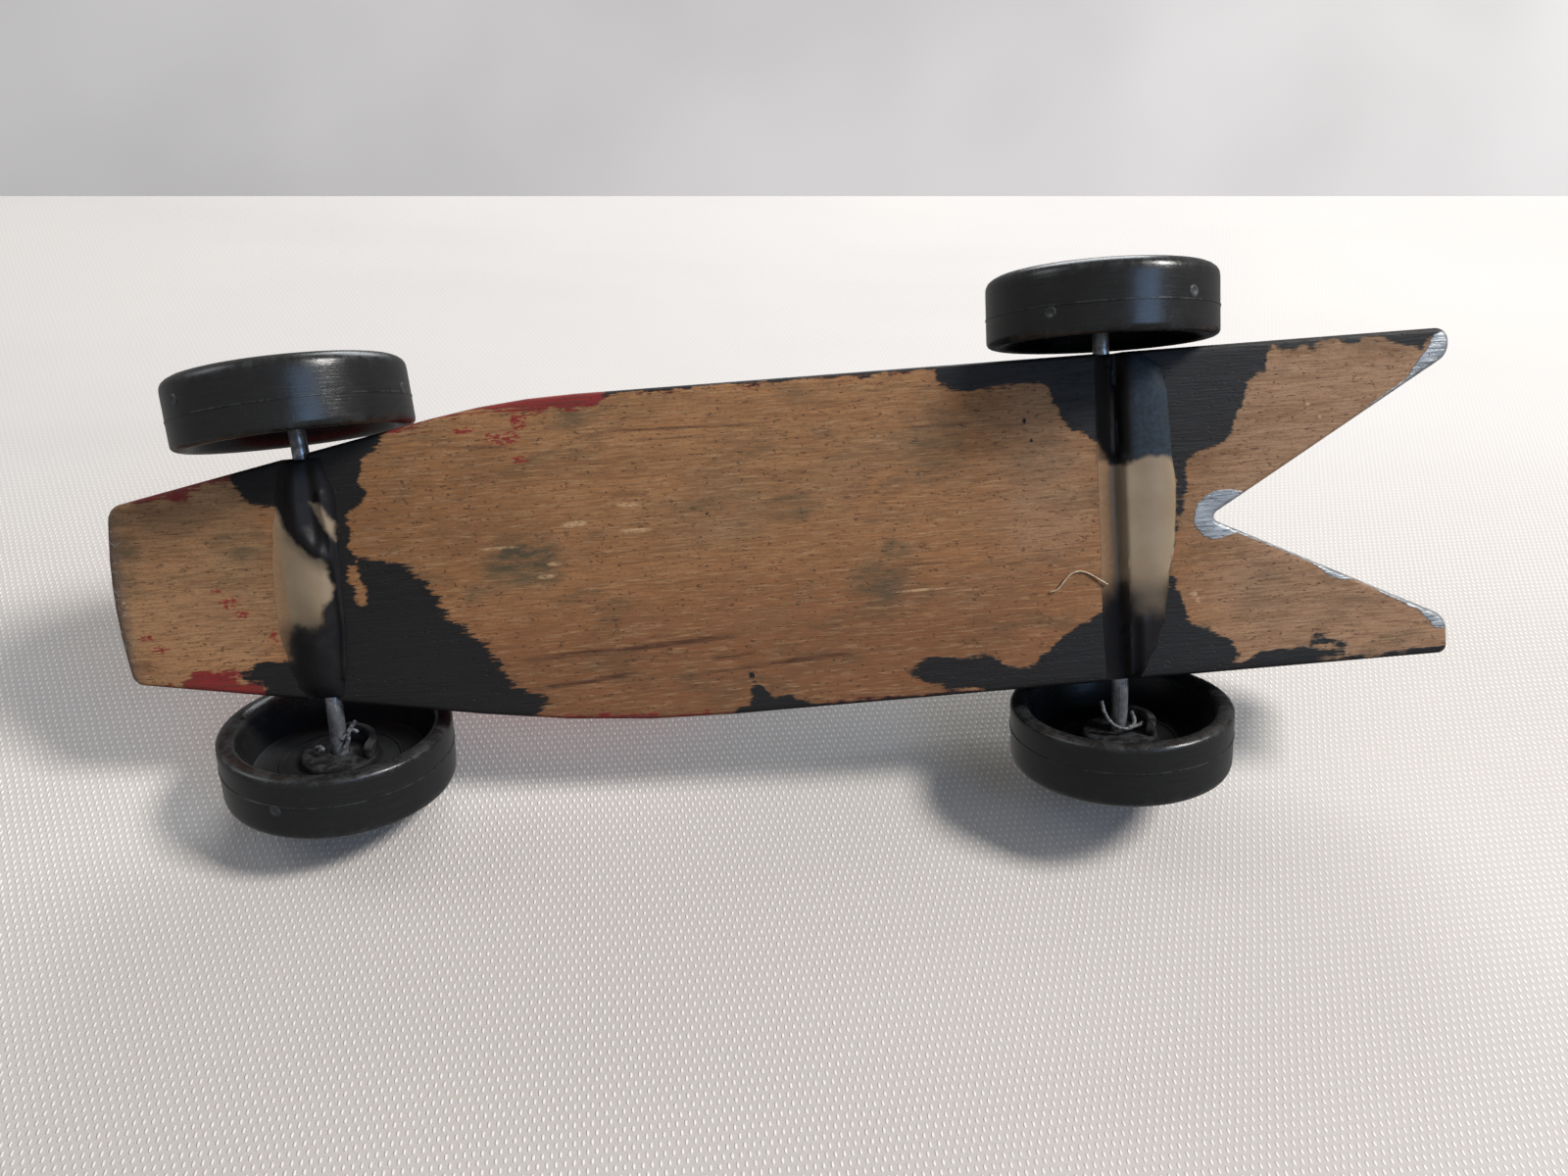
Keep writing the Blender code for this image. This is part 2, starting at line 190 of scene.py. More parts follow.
# Grey-green smudges: centre, half length, half width, strength
SMUDGES = (
    ((52.5, 1.2), 7.0, 4.2, 1.20),
    ((56.0, -0.6), 3.0, 2.2, 0.70),
    ((16.7, 6.5), 5.0, 3.4, 0.70),
    ((99.3, -5.8), 5.0, 4.0, 0.90),
    ((102.0, -1.4), 2.4, 2.0, 0.80),
    ((88.7, 5.3), 5.0, 2.6, 0.75),
    ((59.9, 18.8), 3.4, 1.8, 0.90),
    ((107.5, 12.6), 6.5, 7.5, 0.52),
    ((122.0, 9.0), 6.0, 4.0, 0.45),
    ((1.0, 6.0), 3.5, 8.0, 0.80),
    ((9.0, 9.5), 6.0, 2.4, 0.30),
    ((171.0, -19.5), 5.0, 1.5, 0.60),
    ((152.0, -12.0), 5.0, 6.0, 0.40),
)
# Pale scratches: centre, half length, half width
SCRATCHES = (
    ((59.8, 5.2), 2.1, 0.5),
    ((67.1, 7.3), 1.9, 0.4),
    ((67.7, 3.7), 2.6, 0.4),
    ((56.6, 0.4), 1.2, 0.3),
    ((55.4, -1.2), 1.4, 0.4),
    ((49.5, 3.0), 3.0, 0.25),
    ((105.0, -7.3), 4.4, 0.24),
    ((158.5, 13.5), 0.4, 0.3),
    ((160.2, 11.6), 0.3, 0.3),
    ((142.3, -11.0), 0.7, 0.4),
    ((142.9, -12.0), 0.4, 0.5),
)
# Ragged smears of red paint: centre, half length, half width
RED_SMEARS = (
    ((14.0, -1.3), 2.2, 1.2),
    ((15.5, -2.9), 1.8, 1.0),
    ((12.6, 0.4), 1.4, 0.6),
    ((3.0, -5.2), 1.8, 0.8),
    ((4.2, -6.8), 2.0, 0.8),
    ((9.6, 13.1), 3.0, 1.0),
    ((19.1, -6.4), 0.9, 2.0),
    ((12.0, -11.0), 6.0, 1.6),
    ((54.0, 19.3), 2.2, 1.9),
    ((51.6, 17.1), 4.2, 1.7),
    ((53.6, 14.1), 1.9, 0.9),
    ((46.5, 18.6), 2.4, 0.8),
)
# Dark flecks: centre, half length, half width
FLECKS = (
    ((120.2, 14.2), 0.45, 0.7),
    ((121.0, 11.6), 0.35, 0.4),
    ((77.3, 5.3), 0.45, 0.4),
    ((102.0, 1.0), 0.35, 0.3),
    ((81.4, -16.9), 0.7, 0.8),
    ((37.0, -17.0), 0.2, 0.2),
)

# Wheels: distance out from the inner rim, radius, and how worn that part of the surface is
WHEEL_SIDES = 144
WHEEL_RADIUS = 15.1
WHEEL_PROFILE = (
    (4.5, 1.23, 0.3), (4.5, 2.4, 0.5), (4.5, 4.75, 0.6), (4.6, 5.0, 0.9), (4.8, 5.15, 0.5),
    (5.5, 5.25, 0.2), (5.72, 5.45, 0.2), (5.8, 7.6, 0.2), (5.65, 7.75, 0.5),
    (5.65, 8.0, 0.5), (5.82, 8.15, 0.2), (5.85, 10.9, 0.1), (5.7, 11.35, 0.1),
    (3.4, 11.95, 0.15), (1.3, 12.45, 0.2), (0.75, 12.6, 0.35), (0.38, 12.85, 0.6),
    (0.14, 13.15, 0.9), (0.02, 13.5, 0.8), (0.0, 13.9, 0.7), (0.03, 14.3, 0.8),
    (0.13, 14.65, 1.0), (0.32, 14.93, 1.0), (0.6, 15.08, 0.5), (1.0, 15.1, 0.1),
    (2.4, 15.1, 0.05), (3.66, 15.1, 0.05), (3.7, 15.18, 1.2), (3.86, 15.18, 1.2),
    (3.9, 15.1, 0.05), (5.4, 15.1, 0.05), (7.0, 15.1, 0.08), (7.7, 15.08, 0.3),
    (8.1, 15.0, 0.9), (8.5, 14.78, 0.7), (8.85, 14.35, 0.4), (9.08, 13.85, 0.4),
    (9.18, 13.4, 0.7), (9.18, 13.05, 0.7), (9.08, 12.75, 0.6), (8.75, 12.5, 0.3),
    (8.1, 12.3, 0.2), (7.85, 12.0, 0.1), (7.75, 11.0, 0.1), (7.7, 5.4, 0.1),
    (7.8, 5.0, 0.2), (8.6, 4.75, 0.4), (8.85, 4.6, 0.7), (8.9, 4.3, 0.5), (8.9, 1.23, 0.3),
)
# Moulding pips on the treads: turn about the axle from straight down (degrees), distance out
PIPS = {
    "front_left": ((84.0, 4.3), (-40.0, 5.8)),
    "rear_left": ((30.0, 4.7), (-41.0, 2.9)),
    "front_right": ((14.0, 4.4),),
    "rear_right": ((110.0, 4.2),),
}
PIP_RADIUS = 0.8
PIP_SIDES = 20
# Rings of a pip: share of its radius, and rise over the tread
PIP_RINGS = ((1.0, -0.18), (0.98, 0.024), (0.8, 0.12), (0.6, 0.12), (0.35, 0.024), (0.12, 0.0))
RIBS = 12
RIB_FOOT = 7.5                      # the ribs start inside the web
RIB_FACE = 7.72                     # and their rise counts from its outer face
RIB_EDGE = 0.2
# Stations of a rib: radius, half width, rise
RIB_STATIONS = ((4.9, 0.75, 0.62), (7.0, 0.6, 0.5), (9.5, 0.55, 0.45), (12.2, 0.85, 0.5))
# The collar round the hub starts at this turn from straight down, and its section is an outline
# of radius and distance out from the inner rim
COLLAR_START = {"front_left": 20.0, "rear_left": 60.0, "front_right": 165.0, "rear_right": 180.0}
COLLAR_TURN = 130.0                 # degrees
COLLAR_STEPS = 30
COLLAR_TAPER = 3                    # steps over which each end runs down
COLLAR_FOOT = 4.7
COLLAR_OUTLINE = ((3.8, 4.7), (3.8, 2.75), (3.9, 2.55), (4.1, 2.5), (4.6, 2.5), (4.8, 2.6),
                  (4.95, 2.8), (4.95, 4.7))
SPIN_POINT_OUT = 4.6                # the joints sit this far out from the inner rims

# Strings of glue caught round the right-hand nails: aside, out to the left, and down
STRINGS = {
    "rear_right": (((-2.6, 4.4, 0.9), (-2.6, 3.0, 1.5), (-2.0, 1.7, 2.0), (-0.9, 0.9, 2.3),
                    (0.4, 0.7, 2.3), (1.5, 1.0, 1.9), (1.9, 2.0, 1.3), (1.4, 3.0, 1.1)),
                   ((0.6, 0.9, 2.2), (1.6, 1.2, 1.9), (2.6, 1.0, 1.4), (3.1, 1.2, 0.6))),
    "front_right": (((1.2, 1.0, 1.6), (2.0, 2.0, 1.5), (1.6, 3.0, 1.5), (2.4, 3.8, 1.2),
                     (3.0, 3.0, 1.0)),
                    ((-2.8, 0.9, 1.4), (-1.8, 1.5, 1.9), (-1.2, 0.8, 2.2), (-2.0, 0.7, 2.1)),
                    ((1.0, 2.2, 1.5), (1.9, 3.2, 1.3), (2.9, 4.6, 0.8))),
}
STRING_RADIUS = 0.3
# A loose hair by the rear slot: behind the nose, to the left
HAIR = ((122.6, -9.0), (123.4, -8.9), (124.1, -8.2), (124.9, -7.1), (126.2, -6.4),
        (127.6, -6.6), (129.0, -7.6), (130.4, -8.6))
HAIR_RADIUS = 0.11
HAIR_DROP = 0.25                    # how far it lies under the block
HAIR_WAVE = 0.15

# Glue beads: distance to the left, then both edges behind the nose
FRONT_BEAD = (
    (16.5, 22.7, 28.2), (11.0, 21.6, 29.4), (7.0, 20.8, 29.2), (2.5, 20.2, 28.9),
    (-1.0, 20.0, 28.7), (-6.0, 20.0, 28.5), (-10.0, 20.6, 28.1), (-13.0, 21.4, 27.6),
    (-15.1, 22.6, 27.2),
)
REAR_BEAD = (
    (22.0, 129.9, 136.4), (19.6, 129.8, 138.6), (16.0, 129.8, 139.4), (9.0, 129.8, 139.7),
    (4.0, 129.8, 140.2), (-3.0, 129.8, 139.9), (-9.0, 129.7, 138.8), (-13.0, 129.7, 138.2),
    (-17.0, 129.8, 137.0), (-19.6, 129.9, 135.6), (-21.9, 130.0, 134.6),
)
FRONT_NAIL_RIDGE = ((24.2, 16.6), (24.0, 11.0), (24.3, 7.6), (25.8, 5.0), (27.6, 3.4))
FRONT_EDGE_RIDGE = ((27.6, 12.0), (28.2, 6.0), (28.3, -6.0), (27.6, -12.5))
FRONT_LOWER_LUMP = ((24.6, -8.0), (24.8, -13.2))
REAR_THIN_RIDGE = ((131.3, 20.0), (131.3, 8.0))
REAR_TROUGH = 132.4
REAR_HOLE = ((132.5, 20.4), (132.5, 18.4))
BEAD_FOOT = 0.03
BEAD_BURIED = 0.05                  # how far a bead reaches into the block
BEAD_ROWS = 150
BEAD_COLUMNS = 44

# Camera, in millimetres from the middle of the block's underside
CAMERA_PLACE = Vector((8.1, 16.86, -155.96))
CAMERA_RIGHT = Vector((-0.99586, -0.07678, -0.04865))
CAMERA_UP = Vector((-0.08284, 0.98694, 0.13813))
CAMERA_LENS = 27.05
SENSOR_WIDTH = 36.0
CLIP_START = 0.005                  # metres

# Colours, linear
WOOD_OLIVE = (0.270, 0.174, 0.090, 1)
WOOD_LOW = (0.191, 0.072, 0.032, 1)
WOOD_NOSE = (0.603, 0.339, 0.171, 1)
WOOD_TAIL = (0.433, 0.300, 0.206, 1)
WOOD_ORANGE = (0.412, 0.171, 0.064, 1)
WOOD_PALE = (0.540, 0.335, 0.175, 1)
WOOD_DARK = (0.296, 0.136, 0.053, 1)
WOOD_LIGHT = (0.420, 0.205, 0.085, 1)
WOOD_WARM = (0.376, 0.166, 0.065, 1)
WOOD_GRAIN = (0.185, 0.090, 0.040, 1)
WOOD_PORE = (0.060, 0.034, 0.022, 1)
WOOD_STAIN = (0.085, 0.036, 0.018, 1)
WOOD_SMUDGE = (0.095, 0.072, 0.040, 1)
WOOD_SCRATCH = (0.620, 0.400, 0.220, 1)
PAINT_BLACK = (0.012, 0.0105, 0.0100, 1)
PAINT_BLACK_WORN = (0.022, 0.020, 0.020, 1)
PAINT_BLACK_BLUE = (0.015, 0.0145, 0.0150, 1)
PAINT_RED = (0.270, 0.018, 0.020, 1)
PAINT_RED_WORN = (0.150, 0.030, 0.026, 1)
PAINT_SILVER = (0.144, 0.160, 0.173, 1)
PAINT_SILVER_LIGHT = (0.460, 0.475, 0.485, 1)
PAINT_SILVER_PLAIN = (0.300, 0.312, 0.322, 1)
SMEAR_RED = (0.270, 0.028, 0.024, 1)
NOSE_GREY = (0.130, 0.098, 0.078, 1)
NOSE_CHIP = (0.420, 0.400, 0.380, 1)
GLUE_MILKY = (0.335, 0.255, 0.168, 1)
GLUE_YELLOW = (0.285, 0.208, 0.130, 1)
# painted shade for the groove of glue over the rear slot
GLUE_TROUGH_SHADE = (0.125, 0.098, 0.072, 1)
GLUE_FILM = (0.375, 0.215, 0.112, 1)
GLUE_FILM_DARK = (0.300, 0.165, 0.082, 1)
GLUE_BLACK = (0.011, 0.010, 0.011, 1)
GLUE_BLACK_WORN = (0.017, 0.015, 0.015, 1)
# painted reflection of a bluish sky on the black-painted glue
GLUE_SKY_REFLECTION = (0.038, 0.054, 0.072, 1)
GLUE_SKY_REFLECTION_DIM = (0.026, 0.032, 0.040, 1)
PLASTIC_BLACK = (0.0135, 0.0138, 0.0140, 1)
PLASTIC_DULL = (0.0190, 0.0190, 0.0195, 1)
# painted shade for the inside of the wheel's recess
PLASTIC_RECESS_SHADE = (0.013, 0.013, 0.014, 1)
PLASTIC_WORN = (0.060, 0.062, 0.064, 1)
PLASTIC_DUST = (0.200, 0.200, 0.200, 1)
GRAPHITE = (0.160, 0.160, 0.168, 1)
STEEL = (0.560, 0.570, 0.590, 1)
STEEL_DIRTY = (0.260, 0.262, 0.270, 1)
STEEL_BRIGHT = (0.780, 0.790, 0.810, 1)
HAIR_DARK = (0.42, 0.27, 0.16, 1)
HAIR_LIGHT = (0.62, 0.52, 0.40, 1)
STRING_DARK = (0.045, 0.045, 0.048, 1)
STRING_LIGHT = (0.21, 0.21, 0.22, 1)
FLOOR_A = (0.74, 0.735, 0.73, 1)
FLOOR_B = (0.78, 0.775, 0.77, 1)
FLOOR_GLOW = (1.0, 0.995, 0.990, 1)
# painted shade between the cloth's raised threads
CLOTH_WEAVE_SHADE = (0.590, 0.552, 0.518, 1)
CLOTH_HIGH = (0.955, 0.898, 0.846, 1)
CLOTH_FAR = (0.665, 0.638, 0.618, 1)
CLOTH_WARM = (0.810, 0.750, 0.695, 1)
WALL_A = (0.640, 0.622, 0.612, 1)
WALL_B = (0.800, 0.778, 0.768, 1)
WORLD_COLOUR = (1.0, 0.98, 0.96, 1)

# Stage, in metres. The cloth and the wall are seen only through the floor, from below.
FACING = Vector((-0.089, 0.854, -0.513)).normalized()
CLOTH_HALF = 1.4
CLOTH_REACH = 0.4
CLOTH_EDGE = Vector((0.0, 81.0, 211.0))     # a point on the far edge, in millimetres from the block
CLOTH_GAP = 0.0003                  # air between the right wheels and the cloth
WALL_GAP = 0.12
WALL_HALF = 2.0
FLOOR_HALF = 3.0
FLOOR_LEVEL = -0.0001
BACKING_LEVEL = -0.0003
FLOOR_DIM = (0.25, 1.1)             # the lamps' light fades over this reach, and a glow takes over
FLOOR_FAR_GLOW = 0.50
SHEETS_PASSED = 1.5                 # between one and two sheets of the floor
WEAVE_PITCH = 0.98                  # the weave is in millimetres: across, along, and where it fades
WEAVE_ROWS = 2.1
WEAVE_FADE = (185, 285)
WORLD_LIGHT = 0.22
WORLD_SEEN = 0.62
WINDOW_DISTANCE = 0.9
CAR_MIDDLE = (0, 0, 0.02)
# Windows: place aside of, and in front of, the cloth's normal, then size, power and colour
WINDOWS = {
    "window": (0.85, 0.08, (0.20, 0.20), 7.6, (1.0, 0.975, 0.945)),
    "second_window": (-1.3, -0.2, (0.4, 0.4), 1.1, (0.92, 0.96, 1.0)),
}
# Lamps with a fixed place: place, target, size, power, colour, mirrored in glossy surfaces
LAMPS = {
    "sky": ((-0.48, 0.11, -0.80), (0.01, 0.03, 0.0), (0.30, 0.40), 1.35, (0.36, 0.60, 1.0), True),
    "overhead": ((0.10, -0.10, 0.85), (0, 0, 0.0), (0.7, 0.7), 6.5, (1.0, 0.98, 0.96), False),
    "left_side": ((-0.15, 0.70, 0.45), CAR_MIDDLE, (0.5, 0.4), 4.0, (0.93, 0.97, 1.0), True),
}
CORNERS = ("front_left", "rear_left", "front_right", "rear_right")


# ---------------------------------------------------------------- node helpers
class Field:
    """A shader value or colour that can be worked with like a number."""

    def __init__(self, graph, socket):
        self.graph = graph
        self.socket = socket

    def __add__(self, other):
        return self.graph.math("ADD", self, other)

    def __sub__(self, other):
        return self.graph.math("SUBTRACT", self, other)

    def __mul__(self, other):
        return self.graph.math("MULTIPLY", self, other)

    def __truediv__(self, other):
        return self.graph.math("DIVIDE", self, other)

    def __abs__(self):
        return self.graph.math("ABSOLUTE", self)

    def most(self, other):
        return self.graph.math("MAXIMUM", self, other)

    def step(self, low, high, to_low=0.0, to_high=1.0):
        """Ease from one value, where this is low, to another, where it is high."""
        return self.graph.node("ShaderNodeMapRange", (self, low, high, to_low, to_high),
                               interpolation_type="SMOOTHSTEP")

    def coat(self, colour, factor):
        """This colour with another laid over it."""
        return self.graph.mix(factor, self, colour)


class Graph:
    """Short ways to add shader nodes. Arguments may be numbers, colours or fields."""

    def __init__(self, name):
        self.material = bpy.data.materials.new(name)
        self.material.use_nodes = True
        self.tree = self.material.node_tree
        self.shader = self.tree.nodes["Principled BSDF"]
        self.output = self.tree.nodes["Material Output"]

    def feed(self, socket, value):
        if isinstance(value, Field):
            value = value.socket
        if isinstance(value, bpy.types.NodeSocket):
            self.tree.links.new(value, socket)
        else:
            socket.default_value = value

    def node(self, kind, values=(), output=0, **settings):
        """Add a node, feed its inputs by order or by key, and return one output."""
        made = self.tree.nodes.new(kind)
        for key, value in settings.items():
            setattr(made, key, value)
        pairs = values.items() if isinstance(values, dict) else enumerate(values)
        for key, value in pairs:
            self.feed(made.inputs[key], value)
        return Field(self, made.outputs[output])

    def math(self, operation, a, b=0.0):
        return self.node("ShaderNodeMath", (a, b), operation=operation)

    def mix(self, factor, a, b):
        """A colour between two colours."""
        return self.node("ShaderNodeMix", {0: factor, 6: a, 7: b}, 2, data_type="RGBA")

    def blend(self, factor, a, b):
        """A value between two values."""
        return self.node("ShaderNodeMix", {0: factor, 2: a, 3: b}, data_type="FLOAT")

    def place(self, scale=MILLIMETRES, move=(0, 0, 0)):
        """Object coordinates, scaled."""
        where = self.node("ShaderNodeTexCoord", output="Object")
        return self.node("ShaderNodeMapping", {0: where, 1: move, 3: scale})

    def noise(self, where, scale=1.0, detail=4.0, roughness=0.55, distortion=0.0, move=(0, 0, 0)):
        """Noise in a field's space, or in object coordinates at a scale."""
        if isinstance(where, tuple):
            where = self.place(where, move)
        return self.node("ShaderNodeTexNoise", {
            "Vector": where, "Scale": scale, "Detail": detail,
            "Roughness": roughness, "Distortion": distortion})

    def attribute(self, name):
        return self.node("ShaderNodeAttribute", output="Fac", attribute_name=name)

    def split(self, vector):
        made = self.node("ShaderNodeSeparateXYZ", (vector,)).socket.node
        return [Field(self, socket) for socket in made.outputs]

    def bump(self, height, distance, strength, normal=None):
        values = {"Strength": strength, "Distance": distance, "Height": height}
        if normal is not None:
            values["Normal"] = normal
        return self.node("ShaderNodeBump", values)

    def finish(self, colour, roughness, normal=None, metallic=0.0, specular=0.5):
        values = {"Base Color": colour, "Roughness": roughness, "Metallic": metallic,
                  "Specular IOR Level": specular}
        if normal is not None:
            values["Normal"] = normal
        for key, value in values.items():
            self.feed(self.shader.inputs[key], value)
        return self.material


# ---------------------------------------------------------------- plan geometry
def rounded(corners, closed):
    """Replace each corner that has a radius by an arc; returns a list of 2D points."""
    points = []
    count = len(corners)
    for index, (x, y, radius) in enumerate(corners):
        here = Vector((x, y))
        if radius == 0.0 or (not closed and index in (0, count - 1)):
            points.append(here)
            continue
        into = (Vector(corners[index - 1][:2]) - here).normalized()
        out = (Vector(corners[(index + 1) % count][:2]) - here).normalized()
        turn = math.pi - into.angle(out)
        middle = here + (into + out).normalized() * radius / math.cos(turn / 2)
        start = here + into * radius * math.tan(turn / 2) - middle
        steps = max(2, math.ceil(turn / ARC_STEP))
        sign = 1.0 if start.x * (-into).y - start.y * (-into).x > 0 else -1.0
        for step in range(steps + 1):
            points.append(middle + Matrix.Rotation(sign * turn * step / steps, 2) @ start)
    return points


def resampled(points, spacing):
    """The closed outline again, with no stretch longer than the spacing."""
    result = []
    for index, here in enumerate(points):
        after = points[(index + 1) % len(points)]
        length = (after - here).length
        if length < 1e-6:
            continue
        steps = max(1, math.ceil(length / spacing))
        for step in range(steps):
            result.append(here.lerp(after, step / steps))
    return result


def outward(points):
    """Unit normals of a closed outline, pointing out of it."""
    flat = np.array([(p.x, p.y) for p in points])
    along = np.roll(flat, -1, 0) - np.roll(flat, 1, 0)
    normal = np.stack([along[:, 1], -along[:, 0]], 1)
    normal /= np.linalg.norm(normal, axis=1)[:, None]
    twice_area = np.sum(flat[:, 0] * np.roll(flat[:, 1], -1) - np.roll(flat[:, 0], -1) * flat[:, 1])
    return flat, normal * (1.0 if twice_area > 0 else -1.0)


def signed_distance(places, outline):
    """Distance of each place into a closed outline, negative outside."""
    corners = np.array(outline, float)
    nearest = np.full(len(places), 1e9)
    inside = np.zeros(len(places), bool)
    for start, end in zip(corners, np.roll(corners, -1, 0)):
        edge = end - start
        offset = places - start
        along = np.clip(offset @ edge / (edge @ edge), 0, 1)
        gap = offset - along[:, None] * edge
        nearest = np.minimum(nearest, np.hypot(gap[:, 0], gap[:, 1]))
        crosses = (start[1] > places[:, 1]) != (end[1] > places[:, 1])
        with np.errstate(divide="ignore", invalid="ignore"):
            reach = start[0] + (places[:, 1] - start[1]) * edge[0] / edge[1]
        inside ^= crosses & (places[:, 0] < reach)
    return np.where(inside, nearest, -nearest)


def cover(places, outlines, holes=()):
    """Signed distance into any of the outlines, less the holes."""
    field = np.full(len(places), NO_PAINT)
    for outline in outlines:
        field = np.maximum(field, signed_distance(places, outline))
    for hole in holes:
        field = np.minimum(field, -signed_distance(places, hole))
    return np.clip(field, NO_PAINT, -NO_PAINT)


def top_height(back):
    """Height of the block's top over its underside."""
    profile = rounded(TOP_CORNERS, closed=False)
    return np.interp(back, [p.x for p in profile], [p.y for p in profile])


def ease(value, start, end):
    """0 at the start, 1 at the end, and smooth between."""
    t = np.clip((value - start) / (end - start), 0, 1)
    return t * t * (3 - 2 * t)


def swell(value, centre, width):
    """A smooth hump, 1 at its centre."""
    return np.exp(-((value - centre) / width) ** 2)


def set_attribute(mesh, name, values):
    layer = mesh.attributes.new(name, "FLOAT", "POINT")
    layer.data.foreach_set("value", np.asarray(values, np.float32))


def coordinates(mesh):
    flat = np.zeros(len(mesh.vertices) * 3, np.float32)
    mesh.vertices.foreach_get("co", flat)
    return flat.reshape(-1, 3).astype(float)


def to_plan(places):
    """World places as millimetres behind the nose, to the left, and over the underside."""
    back = (NOSE_X - places[:, 0]) / MM
    left = (places[:, 1] - ORIGIN.y) / MM
    up = (places[:, 2] - ORIGIN.z) / MM
    return back, left, up


def to_world(back, left, up):
    return (NOSE_X - back * MM, ORIGIN.y + left * MM, ORIGIN.z + up * MM)


def link_mesh(name, mesh, material):
    thing = bpy.data.objects.new(name, mesh)
    bpy.context.scene.collection.objects.link(thing)
    mesh.materials.clear()
    mesh.materials.append(material)
    return thing


def smooth(mesh, degrees):
    mesh.polygons.foreach_set("use_smooth", np.ones(len(mesh.polygons), bool))
    mesh.set_sharp_from_angle(angle=math.radians(degrees))


def to_mesh(bm, name):
    bmesh.ops.recalc_face_normals(bm, faces=bm.faces[:])
    mesh = bpy.data.meshes.new(name)
    bm.to_mesh(mesh)
    bm.free()
    return mesh


def join_rings(bm, rings):
    """Quads between each closed ring of vertices and the next."""
    for ring, after in zip(rings, rings[1:]):
        for index in range(len(ring)):
            turn = (index + 1) % len(ring)
            bm.faces.new((ring[index], ring[turn], after[turn], after[index]))


# ---------------------------------------------------------------- the carved block
def cap(bm, ring, height_of, flip):
    """Fill a closed ring of vertices with an even net of triangles."""
    back, left, _ = to_plan(np.array([v.co[:] for v in ring]))
    outline = np.stack([back, left], 1)
    flat = [Vector(place) for place in outline]
    low = outline.min(0)
    high = outline.max(0)
    grid = np.mgrid[low[0]:high[0]:CAP_STEP, low[1]:high[1]:CAP_STEP]
    places = grid.reshape(2, -1).T.copy()
    places[:, 0] += 0.5 * CAP_STEP * (np.round((places[:, 1] - low[1]) / CAP_STEP) % 2)
    places = places[signed_distance(places, outline) > CAP_INSET]
    count = len(flat)
    points = flat + [Vector(p) for p in places]
    edges = [(i, (i + 1) % count) for i in range(count)]
    found, _, faces, sources, _, _ = delaunay_2d_cdt(points, edges, [], 1, 1e-7)
    verts = []
    for place, source in zip(found, sources):
        if source and source[0] < count:
            verts.append(ring[source[0]])
        else:
            up = float(height_of(place.x))
            verts.append(bm.verts.new(to_world(place.x, place.y, up)))
    for face in faces:
        corners = [verts[index] for index in face]
        if len(set(corners)) == 3:
            bm.faces.new(reversed(corners) if flip else corners)


def block_mesh():
    """Rounded prism between the flat underside and the carved top."""
    flat, normal = outward(resampled(rounded(PLAN_CORNERS, closed=True), OUTLINE_STEP))
    back = flat[:, 0]
    wear = np.clip((NOSE_EDGE_REACH / 2 - back) / NOSE_EDGE_REACH, 0, 1)
    edge = EDGE_RADIUS + NOSE_EDGE_EXTRA * wear
    top = top_height(back)
    levels = []
    quarter = [math.pi / 2 * step / EDGE_RINGS for step in range(EDGE_RINGS + 1)]
    for angle in quarter:
        levels.append((edge * (1 - math.sin(angle)), edge * (1 - math.cos(angle))))
    side = top - TOP_EDGE_RADIUS - edge
    for step in range(1, SIDE_RINGS):
        levels.append((np.zeros_like(back), edge + side * step / SIDE_RINGS))
    for angle in quarter:
        inset = TOP_EDGE_RADIUS * (1 - math.cos(angle)) * np.ones_like(back)
        levels.append((inset, top - TOP_EDGE_RADIUS * (1 - math.sin(angle))))
    bm = bmesh.new()
    rings = []
    for inset, height in levels:
        places = flat - normal * inset[:, None]
        rings.append([bm.verts.new(to_world(p[0], p[1], h)) for p, h in zip(places, height)])
    join_rings(bm, rings)
    cap(bm, rings[0], lambda back: 0.0, False)
    cap(bm, rings[-1], top_height, True)
    return to_mesh(bm, "carved_body")


def saw_slots(block):
    """Cut both axle slots across the underside, and keep the result as the block's mesh."""
    bm = bmesh.new()
    for back in (FRONT_SLOT, REAR_SLOT):
        low = Vector(to_world(back + SLOT_WIDTH / 2, -SLOT_OVERRUN, -SLOT_OPEN))
        high = Vector(to_world(back - SLOT_WIDTH / 2, SLOT_OVERRUN, SLOT_DEPTH))
        matrix = Matrix.Translation((low + high) / 2) @ Matrix.Diagonal((high - low).to_4d())
        bmesh.ops.create_cube(bm, size=1.0, matrix=matrix)
    cutter = bpy.data.objects.new("slots", to_mesh(bm, "slots"))
    bpy.context.scene.collection.objects.link(cutter)
    modifier = block.modifiers.new("slots", "BOOLEAN")
    modifier.operation = "DIFFERENCE"
    modifier.solver = "EXACT"
    modifier.object = cutter
    bpy.context.view_layer.update()
    cut = block.evaluated_get(bpy.context.evaluated_depsgraph_get())
    result = bpy.data.meshes.new_from_object(cut)
    block.modifiers.clear()
    block.data = result
    bpy.data.objects.remove(cutter)


